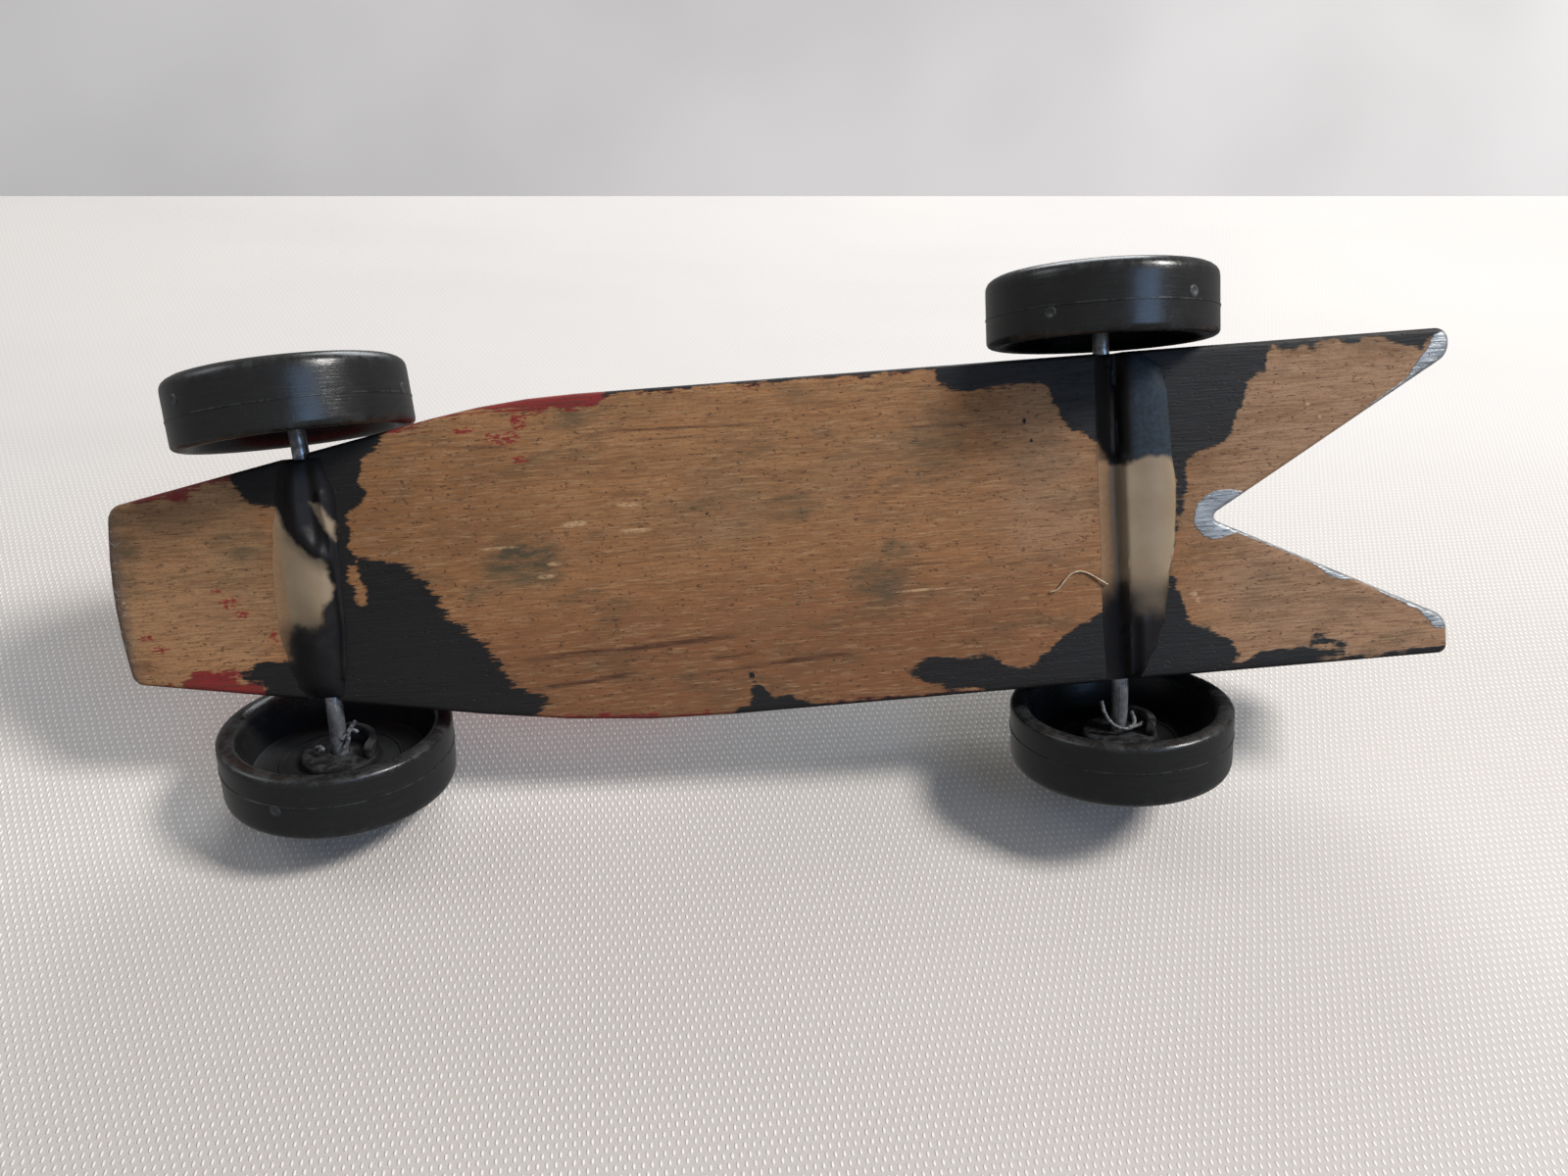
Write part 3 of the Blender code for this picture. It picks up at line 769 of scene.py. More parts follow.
def paint_fields(mesh):
    """Paint reach, in millimetres, at every vertex: positive where the paint covers."""
    back, left, up = to_plan(coordinates(mesh))
    plan = np.stack([back, left], 1)
    # The marks of the underside end just over its edge, and the sides have plain colours
    under = 1 - ease(up, 0.15, 0.65)
    split = np.where(left > 0, SIDE_SPLIT_LEFT, SIDE_SPLIT_RIGHT)
    split = split + (TOP_SPLIT - split) * ease(up, 4.0, 8.0)
    behind_split = np.clip((back - split) * 0.4, -FULL_PAINT, FULL_PAINT)
    outline = [tuple(place) for place in rounded(PLAN_CORNERS, closed=True)]
    from_rim = cover(plan, [outline])
    edge_paint = np.where(back < NOTCH_START, EDGE_PAINT - from_rim, NO_PAINT)
    black = np.maximum(cover(plan, BLACK, BLACK_HOLES), np.minimum(edge_paint, behind_split))
    black = black * under + behind_split * (1 - under)
    red = np.maximum(cover(plan, RED), np.where(back > BARE_NOSE, edge_paint, NO_PAINT))
    red = red * under + FULL_PAINT * (1 - under)
    past_start = back - NOTCH_START
    in_notch = np.minimum(past_start, NOTCH_HALF_WIDTH - np.abs(left))
    in_notch = np.clip(in_notch, -FULL_PAINT, FULL_PAINT)
    silver = cover(plan, SILVER) * under + in_notch * (1 - under)
    near_notch = np.abs(cover(plan, [NOTCH_OUTLINE]))
    top_silver = np.minimum(TOP_SILVER - near_notch, past_start)
    top_silver = np.clip(top_silver, -FULL_PAINT, FULL_PAINT)
    over_top = up - top_height(back)
    is_top = ease(over_top, -0.6, -0.1)
    set_attribute(mesh, "black_reach", black)
    set_attribute(mesh, "red_reach", red)
    set_attribute(mesh, "silver_reach", silver * (1 - is_top) + top_silver * is_top)
    set_attribute(mesh, "nose_wear", ease(back, 1.9, -0.3) * ease(up, 2.8, 0.8))
    set_attribute(mesh, "edge_wear", swell(over_top, -0.35, 0.5) * (from_rim < 1.3))


def streak(across, along, start, end, width):
    """A thin line along the grain, as a factor, in the plan's millimetres."""
    (back_a, left_a), (back_b, left_b) = start, end
    slope = (left_b - left_a) / (back_b - back_a)
    line = along * slope + (left_a - slope * back_a)
    side = abs(across - line).step(0.15 * width, width, 1.0, 0.0)
    half = (back_b - back_a) / 2
    reach = abs(along - (back_a + back_b) / 2)
    return side * reach.step(half * 0.55, half, 1.0, 0.0)


def oval(across, along, centre, half_length, half_width, soft=0.0):
    """A soft oval patch, as a factor."""
    a = (along - centre[0]) / half_length
    b = (across - centre[1]) / half_width
    return (a * a + b * b).step(soft, 1.0, 1.0, 0.0)


def bare_wood(graph, x, y):
    """Colour of the sanded wood with its grain, from the plan's coordinates."""
    wide = graph.noise((18, 60, 60), 1.0, 3.0, 0.5)
    grain = graph.noise((90, 1100, 1100), 0.55, 6.0, 0.65, 0.25)
    fine = graph.noise((260, 3400, 3400), 1.0, 3.0, 0.6)
    pores = graph.noise((1500, 3600, 3600), 0.8, 2.0, 0.5, move=(0.3, 0.7, 0.1))
    mottle = graph.noise(MILLIMETRES, 0.22, 4.0, 0.6)
    colour = graph.mix(wide.step(0.35, 0.68), WOOD_DARK, WOOD_LIGHT)
    colour = colour.coat(WOOD_WARM, mottle.step(0.38, 0.7, 0.0, 0.6))
    patchy = graph.noise((45, 90, 90), 1.0, 4.0, 0.6, 0.5, (0.2, 0.5, 0.1))
    orange = (y + patchy * 26.0).step(17.0, -2.0) * x.step(170.0, 120.0, 0.35, 1.0)
    colour = colour.coat(WOOD_ORANGE, orange * 0.7)
    colour = colour.coat(WOOD_OLIVE, patchy.step(0.48, 0.72, 0.0, 0.6))
    low = x.step(34.0, 50.0) * x.step(138.0, 112.0) * y.step(0.0, -15.0)
    colour = colour.coat(WOOD_LOW, low * 0.66)
    colour = colour.coat(WOOD_NOSE, x.step(22.0, 15.0, 0.0, 0.42))
    colour = colour.coat(WOOD_TAIL, x.step(136.0, 152.0, 0.0, 0.5))
    near_axle = abs(x - 123.0).step(10.0, 2.0) * y.step(-8.0, 0.0)
    colour = colour.coat(WOOD_TAIL, near_axle * 0.3)
    dirt = graph.noise((180, 420, 420), 0.35, 6.0, 0.72, move=(0.4, 0.2, 0.0))
    colour = colour.coat(WOOD_SMUDGE, dirt.step(0.5, 0.68, 0.0, 0.6))
    colour = colour.coat(WOOD_GRAIN, grain.step(0.44, 0.72, 0.0, 0.45))
    colour = colour.coat(WOOD_GRAIN, fine.step(0.42, 0.66, 0.0, 0.55))
    pale = graph.noise((330, 3600, 3600), 1.0, 3.0, 0.6, move=(0.1, 0.9, 0.4))
    colour = colour.coat(WOOD_PALE, pale.step(0.50, 0.70, 0.0, 0.42))
    grit = graph.noise((2200, 3800, 3800), 1.0, 3.0, 0.7)
    colour = colour.coat(WOOD_GRAIN, grit.step(0.5, 0.70, 0.0, 0.6))
    colour = colour.coat(WOOD_PORE, pores.step(0.63, 0.70) * 0.6)
    return colour, wide, grain, fine, pores


def marked(graph, colour, x, y):
    """The wood's colour with its stains, smudges, scratches and specks of paint."""
    across = (graph.noise((60, 200, 200), 1.0, 3.0) - 0.5) * 0.9 + y
    broken = graph.noise((300, 2400, 2400), 1.0, 3.0, 0.6).step(0.35, 0.6, 0.35, 1.0)
    for start, end, width, strength in STAINS:
        colour = colour.coat(WOOD_STAIN, streak(across, x, start, end, width) * (broken * strength))
    rubbed = graph.noise((300, 900, 900), 0.8, 5.0, 0.7).step(0.35, 0.65, 0.2, 1.0)
    for *shape, strength in SMUDGES:
        colour = colour.coat(WOOD_SMUDGE, oval(y, x, *shape) * (rubbed * strength))
    crumbs = graph.noise((1100, 2300, 2300), 1.0, 4.0, 0.7, move=(0.5, 0.1, 0.8))
    scuffed = crumbs.step(0.38, 0.58, 0.15, 1.0)
    for shape in SCRATCHES:
        colour = colour.coat(WOOD_SCRATCH, oval(across, x, *shape, 0.2) * (scuffed * 0.8))
    for shape in FLECKS:
        mark = oval(across, x, *shape) * 0.42 + crumbs
        colour = colour.coat(PAINT_BLACK, mark.step(0.80, 0.86))
    for shape in RED_SMEARS:
        mark = oval(across, x, *shape) * 0.30 + crumbs
        colour = colour.coat(SMEAR_RED, mark.step(0.745, 0.81, 0.0, 0.95))
    return colour


def wood_material():
    graph = Graph("painted_wood")
    nose_mark = (NOSE_X / MM, -ORIGIN.y / MM, -ORIGIN.z / MM)
    x, y, _ = graph.split(graph.place((-1000, 1000, 1000), nose_mark))
    colour, wide, grain, fine, pores = bare_wood(graph, x, y)
    colour = marked(graph, colour, x, y)

    # Paint edges break up along the grain
    ragged = graph.noise((170, 1900, 1900), 1.0, 5.0, 0.75)
    lumpy = graph.noise(MILLIMETRES, 0.55, 3.0, 0.5)
    brushed = abs(x - 47.0).step(14.0, 6.0, 2.2, 5.6)
    shift = (ragged - 0.5) * brushed + (lumpy - 0.5) * 1.6
    black = (graph.attribute("black_reach") + shift).step(-0.12, 0.3)
    red = (graph.attribute("red_reach") + shift * 1.5).step(-0.12, 0.3)
    silver_reach = graph.attribute("silver_reach")
    silver = (silver_reach + shift * 0.35).step(-0.08, 0.16)
    red_colour = graph.mix(fine.step(0.3, 0.75), PAINT_RED, PAINT_RED_WORN)
    colour = colour.coat(red_colour, red * 0.94)
    black_colour = graph.mix(fine.step(0.45, 0.8), PAINT_BLACK, PAINT_BLACK_WORN)
    black_colour = black_colour.coat(PAINT_BLACK_BLUE, wide.step(0.4, 0.7))
    colour = colour.coat(black_colour, black * pores.step(0.74, 0.8, 1.0, 0.75))
    silver_colour = graph.mix(ragged.step(0.35, 0.65), PAINT_SILVER, PAINT_SILVER_LIGHT)
    silver_colour = silver_colour.coat(PAINT_SILVER_PLAIN, silver_reach.step(1.2, 2.6) * 0.8)
    colour = colour.coat(silver_colour, silver)
    rub = graph.noise(MILLIMETRES, 0.35, 5.0, 0.65) + graph.attribute("edge_wear") * 0.14
    colour = colour.coat(WOOD_WARM, rub.step(0.72, 0.76))
    chips = graph.noise(MILLIMETRES, 1.3, 4.0, 0.7).step(0.56, 0.62)
    grimy = graph.mix(chips, NOSE_GREY, NOSE_CHIP)
    colour = colour.coat(grimy, graph.attribute("nose_wear") * 0.75)

    paint = red.most(black).most(silver)
    roughness = graph.blend(paint, grain.step(0.3, 0.7, 0.62, 0.78),
                            ragged.step(0.3, 0.7, 0.48, 0.66))
    roughness = graph.blend(silver, roughness, 0.36)
    height = fine * 0.5 + grain * 0.6 - pores.step(0.63, 0.70) * 0.5 + paint * 0.35
    height += silver * (ragged * silver_reach.step(1.2, 2.6, 0.8, 0.25))
    normal = graph.bump(height, 0.00022, 0.6)
    return graph.finish(colour, roughness, normal, silver * 0.35, 0.35)


def build_body():
    block = link_mesh("carved_body", block_mesh(), wood_material())
    saw_slots(block)
    paint_fields(block.data)
    smooth(block.data, 38)
    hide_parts("body_block")
    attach(block, "chassis")


# ---------------------------------------------------------------- hot glue
def bead_edges(stations, left):
    """Both edges of a bead at a distance to the left, eased between stations."""
    for (upper, front_a, rear_a), (lower, front_b, rear_b) in zip(stations, stations[1:]):
        if left >= lower:
            t = ease(left, upper, lower)
            return front_a + (front_b - front_a) * t, rear_a + (rear_b - rear_a) * t
    return stations[-1][1:]


def ridge(back, left, path, width):
    """Closeness to a path, 1 on it and falling away over the width."""
    nearest = 1e9
    here = Vector((back, left))
    for start, end in zip(path, path[1:]):
        a, b = Vector(start), Vector(end)
        t = max(0.0, min(1.0, (here - a).dot(b - a) / (b - a).length_squared))
        nearest = min(nearest, (here - a.lerp(b, t)).length)
    return math.exp(-(nearest / width) ** 2)


def end_fade(end, power=8):
    return max(0.0, 1 - end ** power) ** 0.5


def front_height(across, end, back, left):
    """A broad mound with the ridge over a nail, a lump and a raised rear lip."""
    edge = ease(1 - abs(across), 0, 0.5 if across > 0 else 0.8)
    tall = 0.45 + 0.75 * swell(left, -2, 5) * swell(back, 25.4, 2.2)
    tall += 0.8 * ridge(back, left, FRONT_NAIL_RIDGE, 1.25)
    tall += 0.8 * ridge(back, left, FRONT_LOWER_LUMP, 1.7)
    tall -= 0.3 * swell(back, 26.4, 0.6) * ease(left, 4, 7)
    lip = 0.34 * ridge(back, left, FRONT_EDGE_RIDGE, 0.42)
    return BEAD_FOOT + (edge * tall + lip) * end_fade(end)


def rear_height(across, end, back, left):
    """A thick rear part and a thin film before it, with a trough between them."""
    film = ease(back, 132.9, 132.2)
    lower = ease(left, -12.0, -14.5)
    upper = ease(left, 8.0, 9.5)
    body = max(0.0, 1 - abs(across) ** 6) ** 0.5
    tall = 1.7 * (1 - film) + 0.16 * film
    tall += 0.2 * swell(back, 136.6, 2.2)
    tall -= 0.3 * swell(back, 132.4, 0.45)
    tall += upper * (0.75 * film + 0.35 * ridge(back, left, REAR_THIN_RIDGE, 0.35))
    tall -= upper * 1.1 * swell(back, 132.7, 0.42)
    tall -= 1.2 * ridge(back, left, REAR_HOLE, 0.5)
    tall += lower * 0.35 * swell(back, 134.6, 0.7)
    tall -= lower * 0.25 * swell(back, 133.4, 0.6)
    feather = ease(back, 129.7, 131.6)
    return BEAD_FOOT + feather * body * end_fade(end, 14) * max(0.05, tall)


def bead_mesh(name, stations, height_of):
    """A closed mesh from a ring of vertices round each cross-section."""
    top = stations[0][0]
    length = top - stations[-1][0]
    bm = bmesh.new()
    rings = []
    for row in range(BEAD_ROWS + 1):
        end = 2 * row / BEAD_ROWS - 1
        left = top - length * row / BEAD_ROWS
        front, rear = bead_edges(stations, left)
        outer = []
        inner = []
        for column in range(BEAD_COLUMNS + 1):
            across = math.sin((2 * column / BEAD_COLUMNS - 1) * math.pi / 2)
            back = front + (rear - front) * (across + 1) / 2
            height = float(height_of(across, end, back, left))
            outer.append(bm.verts.new(to_world(back, left, -height)))
            inner.append(bm.verts.new(to_world(back, left, BEAD_BURIED)))
        rings.append(outer + inner[::-1])
    join_rings(bm, rings)
    for ring in (rings[0], rings[-1]):
        for index in range(BEAD_COLUMNS):
            bm.faces.new((ring[index], ring[index + 1], ring[-2 - index], ring[-1 - index]))
    return to_mesh(bm, name)


def build_bead(name, node, stations, height_of, material, film, soft, softness):
    """A bead of glue over a slot. Its film and its soft black paint start and end at the
    given distances, behind the nose and to the left."""
    mesh = bead_mesh(name, stations, height_of)
    bead = link_mesh(name, mesh, material)
    back, left, _ = to_plan(coordinates(mesh))
    plan = np.stack([back, left], 1)
    set_attribute(mesh, "black_reach", cover(plan, BLACK, BLACK_HOLES))
    set_attribute(mesh, "film", ease(back, *film))
    # closeness to the trough, where the glue's colour is darkened as painted shade
    set_attribute(mesh, "trough", swell(back, REAR_TROUGH, 0.5))
    set_attribute(mesh, "soft_black", softness * ease(left, *soft))
    smooth(mesh, 50)
    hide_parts(node)
    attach(bead, "chassis")


def glue_material():
    graph = Graph("hot_glue")
    cloud = graph.noise(MILLIMETRES, 0.16, 4.0, 0.6)
    speck = graph.noise(MILLIMETRES, 1.6, 4.0, 0.7)
    coarse = speck.step(0.3, 0.7)
    colour = graph.mix(cloud.step(0.35, 0.7), GLUE_MILKY, GLUE_YELLOW)
    # darker along the trough: painted shade in the groove over the slot
    colour = colour.coat(GLUE_TROUGH_SHADE, graph.attribute("trough") * 0.8)
    film = graph.attribute("film").step(0.05, 0.95, 0.0, 0.85)
    colour = colour.coat(graph.mix(coarse, GLUE_FILM, GLUE_FILM_DARK), film)
    soft = graph.attribute("soft_black")
    colour = colour.coat(GLUE_BLACK_WORN, soft * 0.6)
    shift = (graph.noise(MILLIMETRES, 0.6, 3.0) - 0.5) * 1.2
    reach = graph.attribute("black_reach") + shift
    painted = graph.blend(soft, reach.step(-0.5, 0.35), reach.step(-2.4, 1.2))
    x, y, _ = graph.split(graph.place())
    # blue-grey on the upper end of the rear bead: painted reflection of the sky on its black paint
    sky_reflection = y.step(6.0, 9.0) * x.step(-44.6, -46.2)
    paint = graph.mix(cloud.step(0.45, 0.7), GLUE_BLACK, GLUE_BLACK_WORN)
    paint = paint.coat(graph.mix(coarse, GLUE_SKY_REFLECTION, GLUE_SKY_REFLECTION_DIM), sky_reflection)
    colour = colour.coat(paint, painted)
    roughness = graph.blend(painted, speck.step(0.3, 0.7, 0.28, 0.42),
                            speck.step(0.3, 0.7, 0.38, 0.52))
    height = speck * 0.25 + graph.noise(MILLIMETRES, 0.5, 3.0, 0.5) + painted * 0.15
    normal = graph.bump(height, 0.00020, 0.16)
    graph.shader.inputs["Subsurface Weight"].default_value = 0.12
    graph.shader.inputs["Subsurface Radius"].default_value = (0.0012, 0.0009, 0.0006)
    graph.shader.inputs["Subsurface Scale"].default_value = 1.0
    return graph.finish(colour, roughness, normal, 0.0, graph.blend(painted, 0.35, 0.16))


def build_beads():
    material = glue_material()
    build_bead("front_glue_bead", "front_slot_glue", FRONT_BEAD, front_height, material,
               film=(23.0, 20.4), soft=(-3.0, -6.0), softness=0.6)
    build_bead("rear_glue_bead", "rear_slot_glue", REAR_BEAD, rear_height, material,
               film=(132.0, 131.4), soft=(-6.5, -10.5), softness=1.0)


def tube(name, path, radius, material):
    """A thin round strand along a smooth path of world points."""
    curve = bpy.data.curves.new(name, "CURVE")
    curve.dimensions = "3D"
    curve.bevel_depth = radius
    curve.bevel_resolution = 2
    curve.use_fill_caps = True
    spline = curve.splines.new("NURBS")
    spline.points.add(len(path) - 1)
    for point, place in zip(spline.points, path):
        point.co = (*place, 1.0)
    spline.order_u = 4
    spline.use_endpoint_u = True
    spline.resolution_u = 8
    thing = bpy.data.objects.new(name, curve)
    bpy.context.scene.collection.objects.link(thing)
    bpy.context.view_layer.update()
    smoothed = thing.evaluated_get(bpy.context.evaluated_depsgraph_get())
    mesh = bpy.data.meshes.new_from_object(smoothed)
    bpy.data.objects.remove(thing)
    strand = link_mesh(name, mesh, material)
    smooth(mesh, 60)
    return strand


def hair_material():
    graph = Graph("glue_strand")
    blotch = graph.noise(MILLIMETRES, 1.4, 3.0)
    colour = graph.mix(blotch.step(0.35, 0.65), HAIR_DARK, HAIR_LIGHT)
    normal = graph.bump(blotch, 0.0001, 0.4)
    return graph.finish(colour, blotch.step(0.3, 0.7, 0.25, 0.4), normal)


def string_material():
    graph = Graph("graphite_string")
    blotch = graph.noise(MILLIMETRES, 2.0, 4.0, 0.7)
    colour = graph.mix(blotch.step(0.4, 0.65), STRING_DARK, STRING_LIGHT)
    normal = graph.bump(blotch, 0.0002, 0.6)
    return graph.finish(colour, blotch.step(0.3, 0.7, 0.3, 0.5), normal)


def build_hair():
    path = []
    for index, (back, left) in enumerate(HAIR):
        path.append(to_world(back, left, -HAIR_DROP - HAIR_WAVE * math.sin(index)))
    hair = tube("glue_hair", path, HAIR_RADIUS * MM, hair_material())
    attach(hair, "chassis")


def build_strings():
    material = string_material()
    for corner, loops in STRINGS.items():
        middle = Vector(joint(corner)["pos_m"])
        for index, loop in enumerate(loops):
            path = [middle + (CAMERA_RIGHT * a + Vector((0, b, -c))) * MM for a, b, c in loop]
            strand = tube(corner + "_string_" + str(index), path, STRING_RADIUS * MM, material)
            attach(strand, "chassis")


# ---------------------------------------------------------------- wheels and nails
def joint(corner):
    return [j for j in frame["joints"] if j["name"] == corner + "_spin"][0]


def wheel_frame(name):
    """Matrix of a wheel: origin at the inner rim's centre, +Z out along the axle, +X down."""
    axis = Vector(joint(name)["axis"]).normalized()
    centre = Vector(joint(name)["pos_m"]) - axis * SPIN_POINT_OUT * MM
    down = Vector((0, 0, -1))
    down = (down - axis * down.dot(axis)).normalized()
    across = axis.cross(down)
    matrix = Matrix((down, across, axis)).transposed().to_4x4()
    matrix.translation = centre
    return matrix


def lathe(bm, profile, sides, layer):
    """A solid of revolution from a closed profile."""
    rings = []
    for along, radius, wear in profile:
        ring = []
        for step in range(sides):
            angle = 2 * math.pi * step / sides
            vert = bm.verts.new((radius * math.cos(angle), radius * math.sin(angle), along))
            vert[layer] = wear
            ring.append(vert)
        rings.append(ring)
    join_rings(bm, rings + rings[:1])


def closed_strip(bm, sections, layer, wear):
    """A solid swept through sections of equal length, each a list of points."""
    rings = []
    for section in sections:
        ring = [bm.verts.new(point) for point in section]
        for vert in ring:
            vert[layer] = wear
        rings.append(ring)
    join_rings(bm, rings)
    bm.faces.new(rings[0])
    bm.faces.new(rings[-1])


def add_collar(bm, start, layer):
    """The taller half ring round the hub's inner end."""
    sections = []
    for step in range(COLLAR_STEPS + 1):
        angle = math.radians(start + COLLAR_TURN * step / COLLAR_STEPS)
        from_end = min(step, COLLAR_STEPS - step) / COLLAR_TAPER
        drop = 1.0 - min(1.0, from_end) ** 0.5
        section = []
        for radius, along in COLLAR_OUTLINE:
            along = along + (COLLAR_FOOT - along) * drop * 0.5
            section.append((radius * math.cos(angle), radius * math.sin(angle), along))
        sections.append(section)
    closed_strip(bm, sections, layer, 0.8)


def add_ribs(bm, layer):
    """Low spokes across the web on the wheel's outer face."""
    for rib in range(RIBS):
        turn = Matrix.Rotation(2 * math.pi * rib / RIBS, 3, "Z")
        sections = []
        for radius, half, rise in RIB_STATIONS:
            high = RIB_FACE + rise
            half_shape = ((half - RIB_EDGE, high), (half, high - RIB_EDGE), (half, RIB_FOOT))
            shape = [(-side, up) for side, up in reversed(half_shape)] + list(half_shape)
            sections.append([turn @ Vector((radius, side, up)) for side, up in shape])
        closed_strip(bm, sections, layer, 0.4)


def add_pips(bm, pips, layer):
    """Small moulding pips on the tread: a raised ring round a shallow dimple."""
    for degrees, along in pips:
        angle = math.radians(degrees)
        out = Vector((math.cos(angle), math.sin(angle), 0))
        side = Vector((-math.sin(angle), math.cos(angle), 0))
        centre = out * WHEEL_RADIUS + Vector((0, 0, along))
        sections = []
        for share, rise in PIP_RINGS:
            section = []
            for step in range(PIP_SIDES):
                turn = 2 * math.pi * step / PIP_SIDES
                offset = side * math.cos(turn) + Vector((0, 0, 1)) * math.sin(turn)
                section.append(centre + offset * PIP_RADIUS * share + out * rise)
            sections.append(section)
        closed_strip(bm, sections, layer, 1.8)


def build_wheel(name, material):
    bm = bmesh.new()
    layer = bm.verts.layers.float.new("wear")
    lathe(bm, WHEEL_PROFILE, WHEEL_SIDES, layer)
    add_collar(bm, COLLAR_START[name], layer)
    add_ribs(bm, layer)
    add_pips(bm, PIPS[name], layer)
    bmesh.ops.scale(bm, vec=(MM, MM, MM), verts=bm.verts[:])
    mesh = to_mesh(bm, name + "_moulded_wheel")
    wheel = link_mesh(name + "_moulded_wheel", mesh, material)
    smooth(mesh, 32)
    wheel.matrix_world = wheel_frame(name)
    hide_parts(name + "_wheel")
    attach(wheel, name + "_wheel")


def plastic_material():
    graph = Graph("wheel_plastic")
    x, y, z = graph.split(graph.place())
    radius = graph.math("SQRT", x * x + y * y)
    around = graph.math("ARCTAN2", y, x)
    turned = graph.node("ShaderNodeCombineXYZ", (radius * 2.2, around * 1.2, z * 2.2))
    lines = graph.noise(turned, 1.6, 4.0, 0.65)
    grime = graph.noise(MILLIMETRES, 0.5, 5.0, 0.7, 0.6)
    dust = graph.noise(MILLIMETRES, 3.2, 3.0, 0.8)
    wear = graph.attribute("wear")
    rubbed = wear * grime.step(0.40, 0.68)
    colour = graph.mix(lines.step(0.4, 0.75), PLASTIC_BLACK, PLASTIC_DULL)
    colour = colour.coat(PLASTIC_WORN, rubbed * 0.7)
    colour = colour.coat(PLASTIC_WORN, wear.step(1.4, 1.8, 0.0, 0.55))
    inner = z.step(6.2, 5.0)
    smear = radius.step(5.4, 4.2) * inner * grime.step(0.42, 0.62)
    arcs = radius.step(11.0, 6.0) * inner * lines.step(0.62, 0.67)
    colour = colour.coat(GRAPHITE, smear.most(arcs * 0.9) * 0.5)
    colour = colour.coat(PLASTIC_DUST, dust.step(0.70, 0.74) * 0.5)
    # inside the recess the colour is darkened and reflections are dimmed: painted shade
    recess_shade = radius.step(12.4, 11.6) * z.step(7.0, 6.2)
    colour = colour.coat(PLASTIC_RECESS_SHADE, recess_shade * 0.5)
    roughness = grime.step(0.3, 0.7, 0.22, 0.27) + rubbed * 0.15 + recess_shade * 0.12
    normal = graph.bump(lines * 0.5 + dust * 0.3, 0.00012, 0.35)
    return graph.finish(colour, roughness, normal, 0.0, graph.blend(recess_shade, 0.5, 0.07))


def build_wheels():
    material = plastic_material()
    for corner in CORNERS:
        build_wheel(corner, material)


def steel_material():
    graph = Graph("nail_steel")
    grime = graph.noise(MILLIMETRES, 0.9, 4.0, 0.65)
    fine = graph.noise((2600, 500, 2600), 1.0, 3.0, 0.6)
    colour = graph.mix(grime.step(0.35, 0.62), STEEL, STEEL_DIRTY)
    colour = colour.coat(STEEL_BRIGHT, fine.step(0.5, 0.75, 0.0, 0.4))
    normal = graph.bump(fine, 0.0001, 0.3)
    return graph.finish(colour, grime.step(0.3, 0.7, 0.26, 0.5), normal, 0.75)


def dress_nails():
    material = steel_material()
    for corner in CORNERS:
        nail = frame["nodes"][corner + "_axle_nail"]
        nail.data.materials.clear()
        nail.data.materials.append(material)


# ---------------------------------------------------------------- stage
def plane(name, middle, normal, half_u, half_v, material, up):
    """A flat stage sheet facing along its normal, which only the camera sees."""
    u = up.cross(normal).normalized()
    corners = ((-half_u, -half_v, 0), (half_u, -half_v, 0), (half_u, half_v, 0),
               (-half_u, half_v, 0))
    mesh = bpy.data.meshes.new(name)
    mesh.from_pydata(corners, [], [(0, 1, 2, 3)])
    mesh.update()
    thing = link_mesh(name, mesh, material)
    matrix = Matrix((u, normal.cross(u), normal)).transposed().to_4x4()
    matrix.translation = middle
    thing.matrix_world = matrix
    thing.visible_shadow = False
    thing.visible_diffuse = False
    thing.visible_glossy = False
    thing.visible_transmission = False


def see_through(graph, hidden):
    """Show the surface only where the hidden factor is 0."""
    clear = graph.node("ShaderNodeBsdfTransparent")
    shown = graph.node("ShaderNodeMixShader", (hidden, graph.shader.outputs[0], clear))
    graph.feed(graph.output.inputs[0], shown)


def backfacing(graph):
    return graph.node("ShaderNodeNewGeometry", output="Backfacing")


def over_floor(graph):
    """1 for sight that hasn't come up through both sheets of the floor."""
    depth = graph.node("ShaderNodeLightPath", output="Transparent Depth")
    return graph.math("LESS_THAN", depth, SHEETS_PASSED)


def floor_material():
    graph = Graph("floor")
    colour = graph.mix(graph.noise(METRES, 6.0, 2.0), FLOOR_A, FLOOR_B)
    away = graph.node("ShaderNodeVectorMath", (graph.place(METRES),), "Value", operation="LENGTH")
    graph.shader.inputs["Emission Color"].default_value = FLOOR_GLOW
    graph.feed(graph.shader.inputs["Emission Strength"], away.step(*FLOOR_DIM, 0.0, FLOOR_FAR_GLOW))
    see_through(graph, backfacing(graph))
    return graph.finish(colour, 0.8)


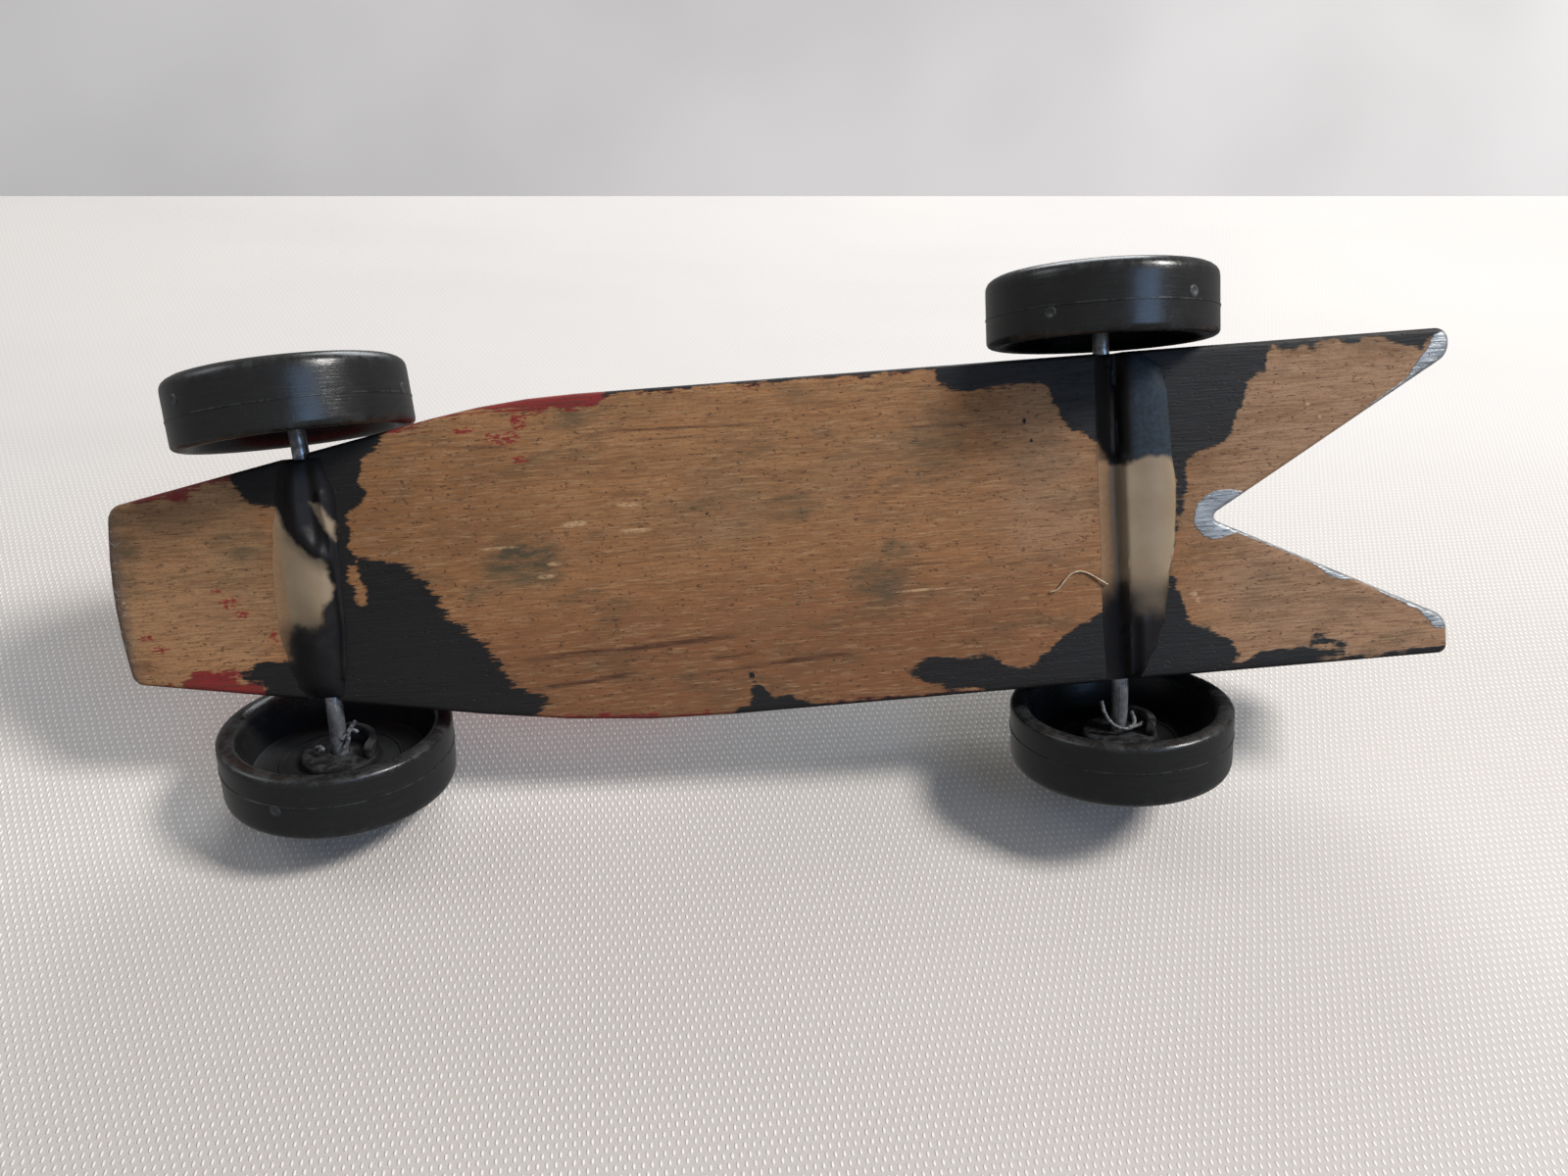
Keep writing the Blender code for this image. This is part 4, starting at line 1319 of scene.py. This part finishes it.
def cloth_material():
    """Pale table cloth with a raised dotted weave, which fades with distance."""
    graph = Graph("table_cloth")
    x, y, _ = graph.split(graph.place())
    wobble = graph.noise(MILLIMETRES, 0.12, 2.0) * 3.0
    across = graph.math("SINE", x * (math.tau / WEAVE_PITCH) + wobble)
    along = graph.math("SINE", y * (math.tau / WEAVE_ROWS))
    threads = graph.noise((1000, 2200, 1000), 3.0, 3.0, 0.7)
    dots = (across * along).step(0.25, 0.95) + threads * 0.5
    # the dotted weave is drawn with painted shade between the threads and the cloth's own pale
    # colour on them
    colour = graph.mix(dots.step(0.15, 1.1), CLOTH_WEAVE_SHADE, CLOTH_HIGH)
    colour = colour.coat(CLOTH_FAR, y.step(*WEAVE_FADE) * 0.85)
    drift = graph.noise(METRES, 7.0, 3.0, 0.5)
    colour = colour.coat(CLOTH_WARM, drift.step(0.4, 0.7, 0.0, 0.25))
    folds = graph.noise((1.5, 5.0, 1.0), 3.5, 2.0, 0.4)
    normal = graph.bump(folds, 0.02, 0.22)
    normal = graph.bump(dots * y.step(*WEAVE_FADE, 1.0, 0.12), 0.00020, 0.7, normal)
    height = graph.split(graph.node("ShaderNodeNewGeometry", output="Position"))[2]
    above = graph.math("GREATER_THAN", height, FLOOR_LEVEL)
    see_through(graph, backfacing(graph).most(above * over_floor(graph)))
    return graph.finish(colour, 0.85, normal)


def wall_material():
    graph = Graph("wall")
    soft = graph.noise((1, 1, 2), 4.0, 3.0).step(0.3, 0.7)
    colour = graph.mix(soft, WALL_A, WALL_B)
    see_through(graph, backfacing(graph).most(over_floor(graph)))
    return graph.finish(colour, 0.9)


def area_light(name, place, target, size, power, colour, mirrored=True):
    data = bpy.data.lights.new(name, "AREA")
    data.shape = "RECTANGLE"
    data.size, data.size_y = size
    data.energy = power
    data.color = colour
    lamp = bpy.data.objects.new(name, data)
    bpy.context.scene.collection.objects.link(lamp)
    lamp.location = place
    lamp.rotation_euler = (Vector(target) - Vector(place)).to_track_quat("-Z", "Y").to_euler()
    lamp.visible_glossy = mirrored


def build_camera():
    place = ORIGIN + CAMERA_PLACE * MM
    right = CAMERA_RIGHT.normalized()
    up = (CAMERA_UP - right * CAMERA_UP.dot(right)).normalized()
    matrix = Matrix((right, up, right.cross(up))).transposed().to_4x4()
    matrix.translation = place
    data = bpy.data.cameras.new("camera")
    data.lens = CAMERA_LENS
    data.sensor_width = SENSOR_WIDTH
    data.clip_start = CLIP_START
    camera = bpy.data.objects.new("camera", data)
    bpy.context.scene.collection.objects.link(camera)
    camera.matrix_world = matrix
    bpy.context.scene.camera = camera


def build_stage():
    touch = []
    for name in ("front_right_wheel", "rear_right_wheel"):
        touch += [v.co.dot(FACING) for v in frame["nodes"][name].data.vertices]
    level = min(touch) - CLOTH_GAP
    pale = floor_material()
    for name, depth in (("floor", FLOOR_LEVEL), ("floor_backing", BACKING_LEVEL)):
        plane(name, Vector((0, 0, depth)), Vector((0, 0, 1)), FLOOR_HALF, FLOOR_HALF, pale,
              Vector((1, 0, 0)))
    eye = ORIGIN + CAMERA_PLACE * MM
    edge = ORIGIN + CLOTH_EDGE * MM
    edge -= FACING * (edge.dot(FACING) - level)
    sight = edge - eye
    level_line = CAMERA_RIGHT - sight * CAMERA_RIGHT.dot(FACING) / sight.dot(FACING)
    far = FACING.cross(level_line).normalized()
    if far.dot(sight) < 0:
        far = -far
    plane("table_cloth", edge - far * CLOTH_REACH, FACING, CLOTH_HALF, CLOTH_REACH,
          cloth_material(), far)
    forward = CAMERA_UP.cross(CAMERA_RIGHT).normalized()
    plane("wall", edge + far * WALL_GAP, -forward, WALL_HALF, WALL_HALF, wall_material(), far)


def build_world():
    """An even sky, brighter where the camera sees it than where it lights the car."""
    world = bpy.data.worlds.new("studio")
    bpy.context.scene.world = world
    world.use_nodes = True
    nodes = world.node_tree.nodes
    links = world.node_tree.links
    background = nodes["Background"]
    background.inputs["Color"].default_value = WORLD_COLOUR
    seen = nodes.new("ShaderNodeLightPath").outputs["Is Camera Ray"]
    strength = nodes.new("ShaderNodeMapRange")
    strength.inputs["To Min"].default_value = WORLD_LIGHT
    strength.inputs["To Max"].default_value = WORLD_SEEN
    links.new(seen, strength.inputs["Value"])
    links.new(strength.outputs["Result"], background.inputs["Strength"])


def build_lights():
    far = (CAMERA_UP - FACING * CAMERA_UP.dot(FACING)).normalized()
    for name, (aside, front, *lamp) in WINDOWS.items():
        towards = (FACING + CAMERA_RIGHT * aside - far * front).normalized()
        area_light(name, towards * WINDOW_DISTANCE, CAR_MIDDLE, *lamp)
    for name, lamp in LAMPS.items():
        area_light(name, *lamp)
    bpy.context.scene.view_settings.view_transform = "Standard"


build_camera()
build_body()
build_beads()
build_wheels()
dress_nails()
build_hair()
build_strings()
build_stage()
build_world()
build_lights()
